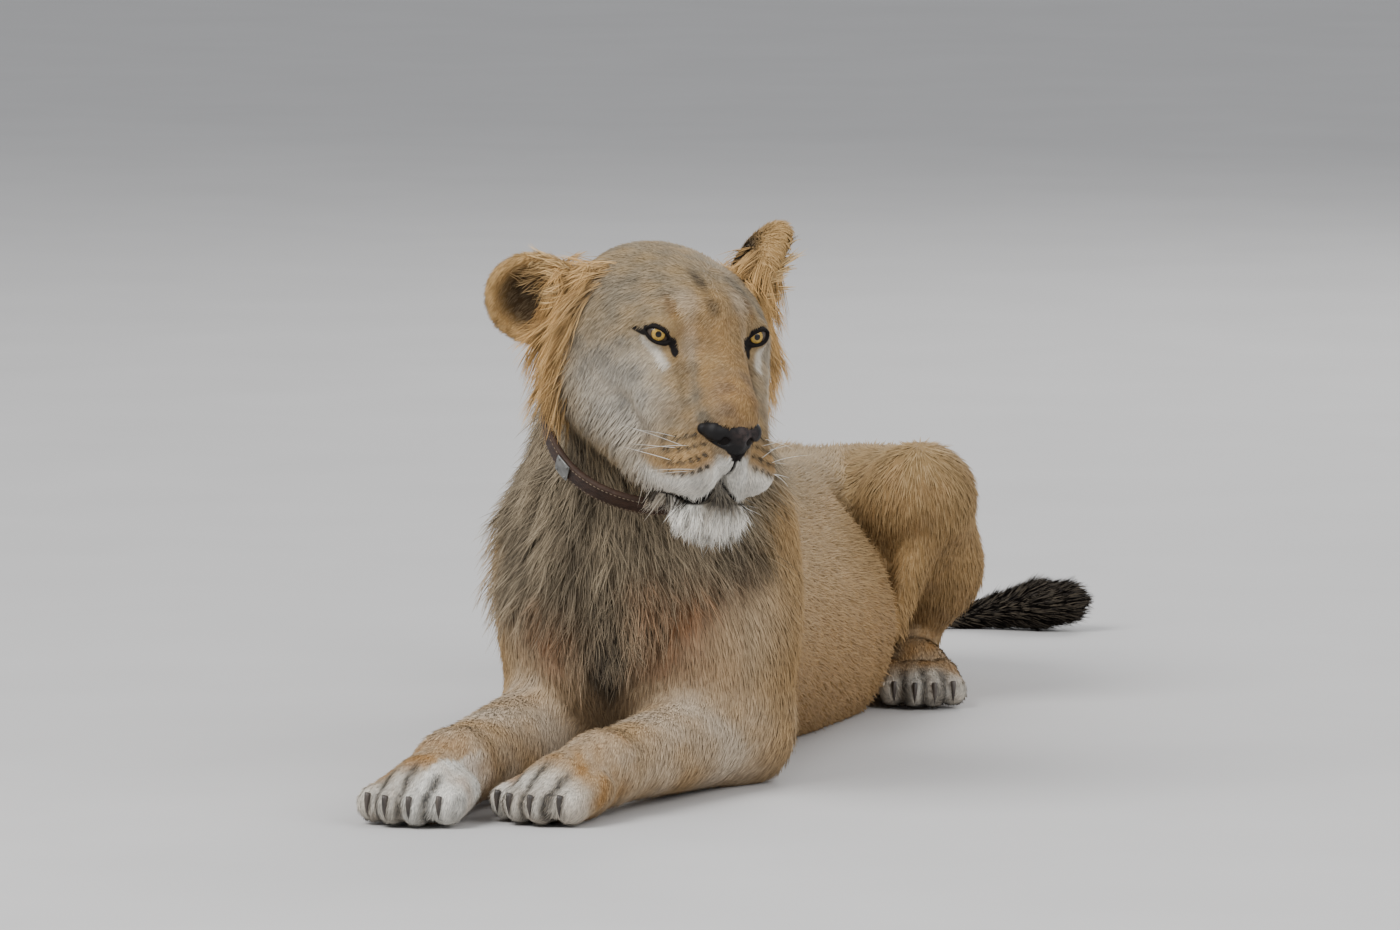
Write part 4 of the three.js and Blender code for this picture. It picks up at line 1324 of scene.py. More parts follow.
def grown(name, tree, tuft, roots, values, material, share=0.6):
    """Runs the tuft tree over the roots and returns the plain mesh."""
    base = bpy.data.meshes.new(name + " roots")
    base.vertices.add(len(roots.points))
    base.vertices.foreach_set("co", to_part(roots.points).astype(np.float32).ravel())
    set_values(base, values)
    carrier = bpy.data.objects.new(name + " roots", base)
    bpy.context.scene.collection.objects.link(carrier)
    modifier = carrier.modifiers.new("Tufts", "NODES")
    modifier.node_group = tree
    sockets = {item.name: item.identifier for item in tree.interface.items_tree if item.in_out == "INPUT"}
    modifier[sockets["Tuft"]] = tuft
    modifier[sockets["Finish"]] = material
    modifier[sockets["Patch"]] = PATCH
    evaluated = carrier.evaluated_get(bpy.context.evaluated_depsgraph_get())
    mesh = bpy.data.meshes.new_from_object(evaluated)
    carrier.modifiers.remove(modifier)
    bpy.data.objects.remove(carrier)
    bpy.data.meshes.remove(base)
    mesh.name = name
    soften(mesh, get_vectors(mesh, "rise"), share)
    for spare in ("aim", "rise", "size", "root", "patch"):
        mesh.attributes.remove(mesh.attributes[spare])
    return mesh


LEAST_HEIGHT = 0.6  # millimetres between hair and floor


def lifted_clear(mesh):
    """Keeps every point above the floor."""
    at = np.empty(len(mesh.vertices) * 3, np.float32)
    mesh.vertices.foreach_get("co", at)
    at[2::3] = np.maximum(at[2::3], LEAST_HEIGHT * MM)
    mesh.vertices.foreach_set("co", at)


# ---------------------------------------------------------------- long hair

# Each kind of long hair, in millimetres where it has a size. "area" is the skin to each strand,
# "clear" how far a lock keeps off the skin at its middle, and "fray" and "clump" say how far the
# strands of a lock part or draw together toward its tip.
STYLE_KEYS = ("length", "uneven", "width", "lift", "droop", "curl", "waves", "clump", "fray", "stray",
              "per_lock", "clear", "steps", "area")
STYLES = {
    "mane_neck": (52, 0.35, 1.3, 0.3, 0.4, 0.12, 0.8, 0.45, 4.5, 0.18, 9, 6, 5, 21),
    "mane_chest": (62, 0.5, 1.2, 0.35, 0.6, 0.15, 0.9, 0.4, 5, 0.24, 9, 8, 5, 9),
    "ruff_hair": (62, 0.4, 1.2, 0.34, 0.5, 0.18, 1.0, 0.4, 3.5, 0.16, 12, 3, 5, 6),
    "ear_hair": (34, 0.4, 1.5, 0.35, 0.05, 0.14, 0.8, 0.55, 2.5, 0.18, 9, 1, 5, 9),
    "beard": (28, 0.35, 1.3, 0.5, 0.4, 0.12, 0.6, 0.4, 3.5, 0.2, 10, 3, 4, 3),
    "elbow_tufts": (26, 0.35, 1.7, 0.3, 0.3, 0.1, 0.6, 0.7, 1.5, 0.12, 10, 2, 4, 12),
    "whiskers": (80, 0.4, 0.7, 0.35, 0.25, 0.03, 0.4, 0.0, 0.5, 0.05, 1, 3, 8, None),
    "tail_brush": (19, 0.3, 1.6, 0.34, 0.0, 0.06, 0.6, 0.15, 2, 0.1, 14, 2, 4, 3.8),
}
SHORTEST_STRAND = 0.7  # share of its lock's length


def hair_style(kind):
    return dict(zip(STYLE_KEYS, STYLES[kind]))


def hair_share():
    return coat_settings().hair * GROWN


def hair_roots(kind, skin, regions, rng, keep):
    """Roots for one kind of long hair, as close together as its row says."""
    spacing = hair_style(kind)["area"] / hair_share()
    return Roots(skin, skin.share(*regions), spacing, rng, keep=keep)


def lock_paths(starts, normals, lies, style, masses, rng):
    """The curves that whole locks follow: lying, lifting, drooping, and kept clear of the skin."""
    count, steps = len(starts), style["steps"]
    length = style["length"] * (1 + style["uneven"] * rng.uniform(-1, 0.4, count))
    way = unit(lies + normals * style["lift"] + rng.normal(0, style["stray"], (count, 3)))
    swirl = unit(np.cross(way, rng.normal(size=(count, 3))))
    phase = rng.uniform(0, 2 * np.pi, count)
    path, at = [starts], starts
    for step in range(1, steps + 1):
        t = step / steps
        turn = swirl * (np.sin(phase + style["waves"] * t * 2 * np.pi) * style["curl"])[:, None]
        way = unit(way - UP * style["droop"] / steps + turn)
        at = at + way * (length / steps)[:, None]
        gap = style["clear"] * (0.3 + t) - field_at(at, masses)
        inside = gap > 0
        if inside.any():
            at = at.copy()
            at[inside] += slope_at(at[inside], masses) * gap[inside, None]
        way = unit(at - path[-1])
        path.append(at)
    return np.stack(path, 1)


def strands(roots, style, masses, rng):
    """Long hair in locks, as thin three-sided tapering solids."""
    steps = style["steps"]
    locks = max(8, len(roots.points) // style["per_lock"])
    heads = rng.choice(len(roots.points), locks, replace=False)
    paths = lock_paths(roots.points[heads], roots.normals[heads], roots.lie[heads], style, masses, rng)
    tree = KDTree(locks)
    for index, point in enumerate(roots.points[heads]):
        tree.insert(point, index)
    tree.balance()
    mine = np.array([tree.find(point)[1] for point in roots.points])
    count = len(roots.points)
    reach = rng.uniform(SHORTEST_STRAND, 1.0, count)
    offset = roots.points - roots.points[heads][mine]
    stray = rng.normal(0, style["fray"], (count, 3))
    rows, radii = [], []
    for step in range(steps + 1):
        t = step / steps
        place = reach * t * steps
        low = np.minimum(place.astype(int), steps - 1)
        part = (place - low)[:, None]
        at = paths[mine, low] * (1 - part) + paths[mine, low + 1] * part
        rows.append(at + offset * (1 - style["clump"] * t ** 1.3) + stray * t ** 1.5)
        radii.append(style["width"] / 2 * (1 - t) ** 0.75 if step else style["width"] * 0.4)
    line = np.stack(rows, 1)
    thick = rng.uniform(0.7, 1.25, count)
    way = unit(np.gradient(line, axis=1))
    normal = roots.normals[:, None, :]
    wide = unit(np.cross(way, normal))
    high = np.cross(wide, way)
    rings = []
    for corner in range(3):
        turn = 2 * np.pi * corner / 3 + np.pi / 2
        swell = (np.array(radii)[None, :] * thick[:, None])[:, :, None]
        rings.append(line + (wide * np.cos(turn) * 1.25 + high * np.sin(turn) * 0.8) * swell)
    body = np.stack(rings, 2)[:, :steps]
    size = 3 * steps + 1
    points = np.concatenate([body.reshape(count, -1, 3), line[:, -1:]], 1)
    faces = [(0, 1, 2)]
    for step in range(steps - 1):
        for corner in range(3):
            a, b = step * 3 + corner, step * 3 + (corner + 1) % 3
            faces += [(b, a, b + 3), (b + 3, a, a + 3)]
    top = 3 * (steps - 1)
    faces += [(top + (corner + 1) % 3, top + corner, 3 * steps) for corner in range(3)]
    faces = (np.array(faces)[None] + np.arange(count)[:, None, None] * size).reshape(-1, 3)
    along = np.concatenate([np.repeat(np.arange(steps) / steps, 3), [1.0]])
    return points.reshape(-1, 3), faces, np.tile(along, count), size


def long_hair(name, kind, roots, skin, rng, material, share=0.55):
    """Makes and finishes one piece of long hair, shaded in part like the skin it grows from."""
    points, faces, along, size = strands(roots, hair_style(kind), skin.masses, rng)
    points[:, 2] = np.maximum(points[:, 2], LEAST_HEIGHT)
    mesh = make_mesh(name, to_part(points), faces)
    count = len(roots.points)
    tone = np.repeat(rng.uniform(0, 1, count), size)
    set_values(mesh, {"tint": np.repeat(roots.tint, size, axis=0), "tone": tone, "along": along})
    spread = np.stack([along, np.tile(np.arange(size) % 3 / 2, count)], 1) * PATCH
    set_map(mesh, (np.repeat(roots.map, size, axis=0) + spread)[faces])
    soften(mesh, np.repeat(roots.normals, size, axis=0), share)
    finished(name, mesh, material)


# ---------------------------------------------------------------- finishes


def hair_finish(name, root=0.62, tip=1.18, rough=0.62, sun=0.12, vary=0.44, gloss=0.12):
    """Coat hair: the marks, darker at the root, with every tuft and lump a little different."""
    finish = Finish(name)
    along, tone = finish.attribute("along"), finish.attribute("tone")
    lumps = finish.noise(30, 3).over(0.25, 0.75)
    shade = (along * (tip - root) + root) * (tone * vary + 1 - vary / 2) * (lumps * 0.22 + 0.88)
    colour = finish.mix(1.0, finish.attribute("tint", "Color"), shade, "MULTIPLY")
    bleached = finish.mix(tone * sun, colour, (0.62, 0.5, 0.33))
    return finish.surface(Base_Color=bleached, Roughness=rough, Specular_IOR_Level=gloss)


def skin_finish(name):
    """The undercoat: the marks a little darker, with short hair as fine broken bumps."""
    finish = Finish(name)
    lumps = finish.noise(26, 4).over(0.25, 0.75)
    fine = finish.noise(520, 4, 0.65)
    shade = (lumps * 0.2 + 0.62) * (fine * 0.5 + 0.72)
    colour = finish.mix(1.0, finish.attribute("tint", "Color"), shade, "MULTIPLY")
    return finish.surface(Base_Color=colour, Roughness=fine * 0.2 + 0.7, Specular_IOR_Level=0.1,
                          Normal=finish.bump(fine, 0.0012, 0.8))


def eye_finish(name, palette):
    """Dark round pupil, streaked amber iris with a dark rim, brown white of the eye; wet."""
    finish = Finish(name)
    angle, turn = finish.attribute("angle"), finish.attribute("spoke", "Vector")
    streaks = finish.noise(9, 3, 0.6, at=turn)
    iris = finish.mix(streaks.over(0.35, 0.7), palette.iris, times(palette.iris, 0.45))
    rim = finish.mix(angle.over(21.5, 26.0), iris, (0.03, 0.018, 0.01))
    ball = finish.mix(angle.over(26.0, 31.0), rim, (0.06, 0.045, 0.035))
    colour = finish.mix((angle * -1.0).over(-11.5, -10.0), ball, (0.002, 0.002, 0.002))
    return finish.surface(Base_Color=colour, Roughness=streaks * 0.1 + 0.3, Specular_IOR_Level=0.15,
                          Coat_Weight=0.45, Coat_Roughness=0.02)


def nose_finish(name, palette):
    """Bare skin in small raised cells, black with a worn pinkish patch, and painted shade in the grooves
    between the cells.
    """
    finish = Finish(name)
    cells = finish.node("ShaderNodeTexVoronoi", {"feature": "DISTANCE_TO_EDGE"},
                        {"Vector": finish.place(), "Scale": 620.0})
    patch = finish.attribute("patch") * finish.noise(130, 3).over(0.32, 0.62)
    colour = finish.mix(patch, palette.nose, palette.nose_patch)
    # painted shade: the grooves between the raised cells darkened toward black
    colour = finish.mix(cells.over(0.0, 0.12) * -0.5 + 0.5, colour, (0.008, 0.007, 0.007))
    return finish.surface(Base_Color=colour, Roughness=finish.noise(240, 2) * 0.25 + 0.3,
                          Specular_IOR_Level=0.18, Normal=finish.bump(cells.at_most(0.25), 0.0006, 0.7))


def claw_finish(name, palette):
    finish = Finish(name)
    grain = finish.noise(160, 3, at=finish.place((1, 1, 0.25)))
    colour = finish.mix(grain.over(0.3, 0.8), palette.claw, times(palette.claw, 3.2))
    return finish.surface(Base_Color=colour, Roughness=grain * 0.3 + 0.3)


def leather_finish(name, palette):
    """Dark worn leather, its colour darkened further as painted shade: creased grain, scuffed paler along the
    edges.
    """
    finish = Finish(name)
    grain = finish.noise(420, 4, 0.6)
    creases = finish.noise(70, 3, 0.6, at=finish.place((1, 1, 3)))
    edge = finish.attribute("edge")
    worn = (edge * 0.8 + finish.noise(45, 3) * 0.7).over(0.75, 1.15)
    colour = finish.mix(creases.over(0.3, 0.75), palette.leather, times(palette.leather, 2.1))
    colour = finish.mix(worn * 0.3, colour, (0.09, 0.055, 0.036))
    return finish.surface(Base_Color=colour, Roughness=grain * 0.3 + 0.42, Specular_IOR_Level=0.22,
                          Normal=finish.bump(grain + creases * 1.5, 0.0008, 0.7))


def thread_finish(name):
    finish = Finish(name)
    fibre = finish.noise(900, 2)
    colour = finish.mix(fibre, (0.16, 0.12, 0.08), (0.3, 0.23, 0.15))
    return finish.surface(Base_Color=colour, Roughness=fibre * 0.1 + 0.8)


def metal_finish(name, palette):
    """Brushed pale metal with scratches and a dull film."""
    finish = Finish(name)
    brushed = finish.noise(260, 4, 0.7, at=finish.place((8, 1, 1)))
    film = finish.noise(55, 3).over(0.35, 0.8)
    colour = finish.mix(film, palette.plate, times(palette.plate, 0.62))
    return finish.surface(Base_Color=colour, Metallic=1.0 - film * 0.3,
                          Roughness=brushed * 0.3 + film * 0.2 + 0.18,
                          Normal=finish.bump(brushed, 0.0002, 0.4))


# ---------------------------------------------------------------- pieces

FLESH = ["head", "muzzle", "lower_jaw", "ear_left", "ear_right", "ruff_left", "ruff_right", "neck",
         "chest", "belly", "hips", "tail_base", "tail_end", "tail_tuft"]
FLESH += [f"{part}_{side}" for side, _ in SIDES
          for part in ("upper_arm", "forearm", "fore_paw", "thigh", "shank", "hind_foot")]


class LionOperator(bpy.types.Operator):
    """Base of every operator that makes a piece."""

    bl_options = {"REGISTER", "UNDO"}

    def rng(self, own):
        return np.random.default_rng([coat_settings().seed, own])


class LION_OT_skin(LionOperator):
    """Makes the one skin of the body with its lids, lips and markings"""

    bl_idname = "lion.skin"
    bl_label = "Skin"

    def execute(self, context):
        skin = MADE["skin"] = Skin()
        mesh = make_mesh("skin", to_part(skin.points), skin.faces)
        set_values(mesh, {"tint": skin.tint})
        set_map(mesh, unwrap(to_part(skin.points), skin.faces))
        finished("skin", mesh, skin_finish("undercoat"), FLESH)
        return {"FINISHED"}


# Degrees from the gaze at which an eyeball has a ring of points, closest round the pupil and iris.
EYE_RINGS = (0, 3, 6, 8, 9.2, 11, 14, 17, 20, 23, 26, 29, 33, 40, 50, 65, 85, 110, 140, 165, 180)
EYE_SIDES = 40
CORNEA_BULGE = 1.3
CORNEA_EDGE = 31  # degrees


class LION_OT_eyes(LionOperator):
    """Makes the two wet amber eyes, each turned to its own gaze"""

    bl_idname = "lion.eyes"
    bl_label = "Eyes"

    def execute(self, context):
        material = eye_finish("wet eye", colours())
        angles = np.radians(EYE_RINGS)
        around = np.linspace(0, 2 * np.pi, EYE_SIDES + 1)[:-1]
        for side, s in SIDES:
            look, rise = np.radians(EYE_LOOK[side])
            look_at = (np.cos(look) * np.cos(rise), s * np.sin(look) * np.cos(rise), np.sin(rise))
            forward = unit(HEAD.direction(look_at))
            left = unit(np.cross(HEAD.rows[2], forward))
            gaze = Axes(EYES[side], [forward, left, np.cross(forward, left)])
            points, values = [], {"angle": [], "spoke": []}
            for angle in angles:
                r = EYE_RADIUS + CORNEA_BULGE * max(0.0, 1 - (np.degrees(angle) / CORNEA_EDGE) ** 2)
                ahead, aside = r * np.cos(angle), r * np.sin(angle)
                for turn in around[:1] if angle in (angles[0], angles[-1]) else around:
                    ring = (np.cos(turn), np.sin(turn))
                    points.append((ahead, aside * ring[0], aside * ring[1]))
                    values["angle"].append(np.degrees(angle))
                    values["spoke"].append((ring[0], ring[1], np.degrees(angle) * 0.02))
            faces, n = [], len(around)
            for k in range(n):
                faces.append((0, 1 + k, 1 + (k + 1) % n))
                faces.append((len(points) - 1, len(points) - 1 - n + (k + 1) % n, len(points) - 1 - n + k))
            for row in range(len(angles) - 3):
                for k in range(n):
                    a, b = 1 + row * n + k, 1 + row * n + (k + 1) % n
                    faces += [(a, a + n, b), (b, a + n, b + n)]
            mesh = make_mesh(f"eyeball_{side}", to_part(gaze.point(np.array(points))), faces)
            set_values(mesh, values)
            finished(f"eyeball_{side}", mesh, material, [f"eye_{side}"])
        return {"FINISHED"}


def sculpted(masses, step):
    """A closed mesh of a few masses on a fine grid of its own."""
    low = np.min([m.low for m in masses if not m.hollow], axis=0) - 6
    high = np.max([m.high for m in masses if not m.hollow], axis=0) + 6
    grid = [grid_lines(a, (b, step)) for a, b in zip(low, high)]
    points, faces = surface_net(sample_grid(masses, grid), grid)
    return settle(points, masses), faces


def nose_masses():
    masses = [
        chain("nose", [(116, -22, -78), (121, 0, -77), (116, 22, -78)], [10.5, 12.5, 10.5], 10, HEAD),
        chain("nose", [(124, 0, -79), (127, 0, -90), (122, 0, -103)], [12, 11, 5], 10, HEAD),
    ]
    for _, s in SIDES:
        masses.append(chain("nose", [(117, s * 21, -81), (124, s * 7, -98)], [10, 7], 8, HEAD))
        masses.append(chain("nose", [(114, s * 22, -79), (104, s * 31, -80)], [9.5, 7], 8, HEAD))
    for _, s in SIDES:
        for line, radii in (([(136, s * 12, -86), (129, s * 15, -85)], [3, 4.6]),
                            ([(131, s * 15, -87), (119, s * 31, -92)], [3.4, 2.4])):
            nostril = chain("nose", line, radii, 2, HEAD)
            nostril.hollow = True
            masses.append(nostril)
    return masses


class LION_OT_nose(LionOperator):
    """Makes the bare nose with its nostrils"""

    bl_idname = "lion.nose"
    bl_label = "Nose"

    def execute(self, context):
        points, faces = sculpted(nose_masses(), 1.1)
        mesh = make_mesh("nose_leather", to_part(points), faces)
        h = HEAD.local(points)
        set_values(mesh, {"patch": spot(h, (128, 8, -75), (22, 15, 12), 0.6)})
        finished("nose_leather", mesh, nose_finish("nose leather", colours()), ["nose"])
        return {"FINISHED"}


CLAW_REACH = -3  # the root sits in the toe
CLAW_LENGTH = 24
CLAW_GIRTH = (4.4, 4.3, 3.9, 3.2, 2.3, 1.2)
CLAW_SIDES = 10
CLAW_UP = (-0.35, 0, 0.94)  # the way its root points, in the foot's frame


def claw_mesh(name, seat):
    """A hooked claw, thick at its upper end, narrow from side to side."""
    points, sides = [], CLAW_SIDES
    for row, girth in enumerate(CLAW_GIRTH):
        t = row / len(CLAW_GIRTH)
        middle = (3.5 - 9 * (t - 0.25) ** 2 - 3 * t, CLAW_LENGTH * (0.45 - t))
        for k in range(sides):
            turn = 2 * np.pi * k / sides
            points.append((middle[0] + girth * np.cos(turn), 0.75 * girth * np.sin(turn), middle[1]))
    points += [(-5.5, 0, -CLAW_LENGTH * 0.56), (3, 0, CLAW_LENGTH * 0.47)]
    last, count = (len(CLAW_GIRTH) - 1) * sides, len(points)
    faces = []
    for k in range(sides):
        following = (k + 1) % sides
        faces += [(count - 1, k, following), (last + following, last + k, count - 2)]
        for row in range(len(CLAW_GIRTH) - 1):
            a, b = row * sides + k, row * sides + following
            faces += [(a, a + sides, b), (b, a + sides, b + sides)]
    return make_mesh(name, to_part(seat.point(np.array(points))), faces)


class LION_OT_claws(LionOperator):
    """Makes the four claws of each foot"""

    bl_idname = "lion.claws"
    bl_label = "Claws"

    def execute(self, context):
        material = claw_finish("horn", colours())
        for side, s in SIDES:
            for foot, on_floor, shape in feet(side, s):
                for number, (across, reach) in enumerate(toe_fan(shape), 1):
                    root = (reach + shape["toe"] + CLAW_REACH, across, shape["toe"] * 1.1)
                    seat = on_floor.standing(root, CLAW_UP, (1, 0, 0))
                    name = f"horn_{foot}_{side}_{number}"
                    finished(name, claw_mesh(name, seat), material,
                             [f"claw_{foot}_{side}_{number}"])
        return {"FINISHED"}


COLLAR = Axes.turned((26, -122, 428), 20, -38, -14)
COLLAR_WIDE, COLLAR_DEEP, COLLAR_STRAP, COLLAR_THICK = 118, 120, 26, 7
# The strap's outline, as shares of half its width and of half its thickness.
STRAP_OUTLINE = ((1, -0.5), (1, 0.5), (0.92, 0.95), (0.5, 1), (0, 1.02), (-0.5, 1), (-0.92, 0.95),
                 (-1, 0.5), (-1, -0.5), (-0.92, -1), (0, -1), (0.92, -1))
STRAP_ROUNDS = 140
STITCH_ROWS = (-10.2, 10.2)
STITCH_STEP = 2.4  # degrees round the neck
STITCH_SIZE = (3.4, 0.9, 0.7)
STITCH_RISE = 0.1
PLATE_TURN = 197  # degrees round the neck
PLATE_HALF_LONG = (COLLAR_STRAP + 2) / 2
PLATE_HALF_WIDE = 9.5
PLATE_BOW = 0.55 * 180 / np.pi / COLLAR_WIDE * PLATE_HALF_WIDE * 2  # degrees from its middle to its edge
PLATE_RISE = 0.7
PLATE_WALL = 1.8
PLATE_EDGE = 0.5
RIVET_TURNS = (-3.2, 3.2)
RIVET_ROWS = (-10, 10)
RIVET_SIZE = (2.2, 2.2, 1.5)
RIVET_RISE = 2.4


def strap_point(turn, along, out):
    """A place on the strap: degrees round the neck, millimetres along it, and out from its middle."""
    a = np.radians(turn)
    sway = 1.6 * np.sin(3 * a + 1) + 1.1 * np.sin(5 * a)
    return (along + sway, np.cos(a) * (COLLAR_WIDE + out), np.sin(a) * (COLLAR_DEEP + out))


class LION_OT_collar(LionOperator):
    """Makes the leather strap, its two rows of stitches, and the riveted plate"""

    bl_idname = "lion.collar"
    bl_label = "Collar"

    def execute(self, context):
        half, thick = COLLAR_STRAP / 2, COLLAR_THICK / 2
        profile = [(half * along, thick * out) for along, out in STRAP_OUTLINE]
        rounds, sides = STRAP_ROUNDS, len(profile)
        turns = np.arange(rounds) * 360 / rounds
        points = [strap_point(turn, *place) for turn in turns for place in profile]
        edge = [abs(along) / half for _ in turns for along, _ in profile]
        faces = []
        for i in range(rounds):
            for j in range(sides):
                a, b = i * sides + j, i * sides + (j + 1) % sides
                c, d = (i + 1) % rounds * sides + (j + 1) % sides, (i + 1) % rounds * sides + j
                faces.append((a, b, c, d))
        mesh = make_mesh("collar_strap", to_part(COLLAR.point(np.array(points))), faces)
        set_values(mesh, {"edge": edge})
        material = leather_finish("worn leather", colours())
        finished("collar_strap", mesh, material, ["collar"])
        self.stitches()
        self.plate()
        return {"FINISHED"}

    def studs(self, name, helper, places, aims, rises, sizes, material, slot):
        """Small repeated parts, set by the tuft tree."""
        places = [COLLAR.point(p) for p in places]
        roots = SimpleNamespace(points=np.array(places))
        values = {"aim": COLLAR.direction(aims), "rise": COLLAR.direction(rises), "size": sizes,
                  "root": in_space(spread_out(len(places)))}
        tuft = bpy.data.objects.new("helper", helper)
        bpy.context.scene.collection.objects.link(tuft)
        mesh = grown(name, tuft_tree(), tuft, roots, values, material, share=0.0)
        bpy.data.objects.remove(tuft)
        finished(name, mesh, material)

    def stitches(self):
        places, aims, rises = [], [], []
        for along in STITCH_ROWS:
            for turn in np.arange(0, 360, STITCH_STEP):
                a = np.radians(turn)
                places.append(strap_point(turn, along, COLLAR_THICK / 2 + STITCH_RISE))
                aims.append((0.0, -np.sin(a), np.cos(a)))
                rises.append((0.0, np.cos(a), np.sin(a)))
        sizes = np.tile(np.array(STITCH_SIZE) * MM, (len(places), 1))
        self.studs("collar_stitches", spindle_mesh(), places, np.array(aims), np.array(rises), sizes,
                   thread_finish("waxed thread"), "collar_leather")

    def plate(self):
        material = metal_finish("brushed plate", colours())
        work = bmesh.new()
        bmesh.ops.create_grid(work, x_segments=8, y_segments=10, size=0.5)
        for vertex in work.verts:
            x, y = vertex.co.x * 2, vertex.co.y * 2
            corner = 1 - 0.06 * (abs(x) * abs(y)) ** 3
            place = strap_point(PLATE_TURN + y * PLATE_BOW * corner, x * PLATE_HALF_LONG * corner,
                                COLLAR_THICK / 2 + PLATE_RISE)
            vertex.co = Vector(to_part(COLLAR.point(np.array(place))))
        bmesh.ops.recalc_face_normals(work, faces=work.faces)
        mesh = bpy.data.meshes.new("tag_plate")
        work.to_mesh(mesh)
        work.free()
        a = np.radians(PLATE_TURN)
        outward = Vector(COLLAR.direction((0, np.cos(a), np.sin(a))))
        if mesh.polygons[0].normal.dot(outward) < 0:
            mesh.flip_normals()
        piece = finished("tag_plate", mesh, material, ["collar_plate"])
        wall = piece.modifiers.new("Wall", "SOLIDIFY")
        wall.thickness, wall.offset = PLATE_WALL * MM, 1.0
        edge = piece.modifiers.new("Edge", "BEVEL")
        edge.width, edge.segments, edge.limit_method = PLATE_EDGE * MM, 2, "ANGLE"
        places, rises = [], []
        for turn in RIVET_TURNS:
            for along in RIVET_ROWS:
                a = np.radians(PLATE_TURN + turn)
                places.append(strap_point(PLATE_TURN + turn, along, COLLAR_THICK / 2 + RIVET_RISE))
                rises.append((0.0, np.cos(a), np.sin(a)))
        aims = np.tile((1.0, 0, 0), (len(places), 1))
        sizes = np.tile(np.array(RIVET_SIZE) * MM, (len(places), 1))
        self.studs("tag_rivets", dome_mesh(), places, aims, np.array(rises), sizes, material,
                   "collar_metal")


def ringed(rows, sides, ends):
    """A closed solid of rings about Z: rows of (place, radius), with a point at each end."""
    points, faces = [], []
    for place, radius in rows:
        for k in range(sides):
            turn = 2 * np.pi * k / sides
            points.append((radius * np.cos(turn), radius * np.sin(turn), place))
    points += [(0, 0, ends[0]), (0, 0, ends[1])]
    last = (len(rows) - 1) * sides
    for k in range(sides):
        n = (k + 1) % sides
        faces += [(len(points) - 2, n, k), (last + k, last + n, len(points) - 1)]
        for row in range(len(rows) - 1):
            a, b = row * sides + k, row * sides + n
            faces += [(a, b, b + sides), (a, b + sides, a + sides)]
    return np.array(points, float), faces


def spindle_mesh():
    """One stitch: a short thread along X, dipping into the leather at both ends."""
    points, faces = ringed([(-0.4, 0.35), (0, 0.55), (0.4, 0.35)], 6, (-0.5, 0.5))
    points = points[:, [2, 0, 1]]
    points[:, 2] -= 1.2 * points[:, 0] ** 2
    mesh = make_mesh("stitch", points, faces)
    set_values(mesh, {"along": np.zeros(len(points)), "patch": points})
    return mesh


def dome_mesh():
    """One rivet: a low dome on a short stem."""
    points, faces = ringed([(-0.3, 1.0), (0.3, 0.92), (0.7, 0.6)], 12, (-0.3, 0.9))
    mesh = make_mesh("rivet", points, faces)
    set_values(mesh, {"along": np.zeros(len(points)), "patch": points})
    return mesh


# Short coat pieces: the regions that each covers, and the half of the body, if it is one.
SHORT_COATS = {
    "coat_brow": (("head", "bridge", "ear"), 0),
    "coat_cheeks": (("cheek", "pad", "jaw", "chin"), 0),
    "coat_neck": (("neck", "chest", "ruff", "tail", "tuft"), 0),
    "coat_trunk_left": (("back", "flank"), 1),
    "coat_trunk_right": (("back", "flank"), -1),
    "coat_forelegs": (("upper_arm", "forearm", "fore_paw"), 0),
    "coat_haunches": (("thigh", "shank", "hind_paw"), 0),
}


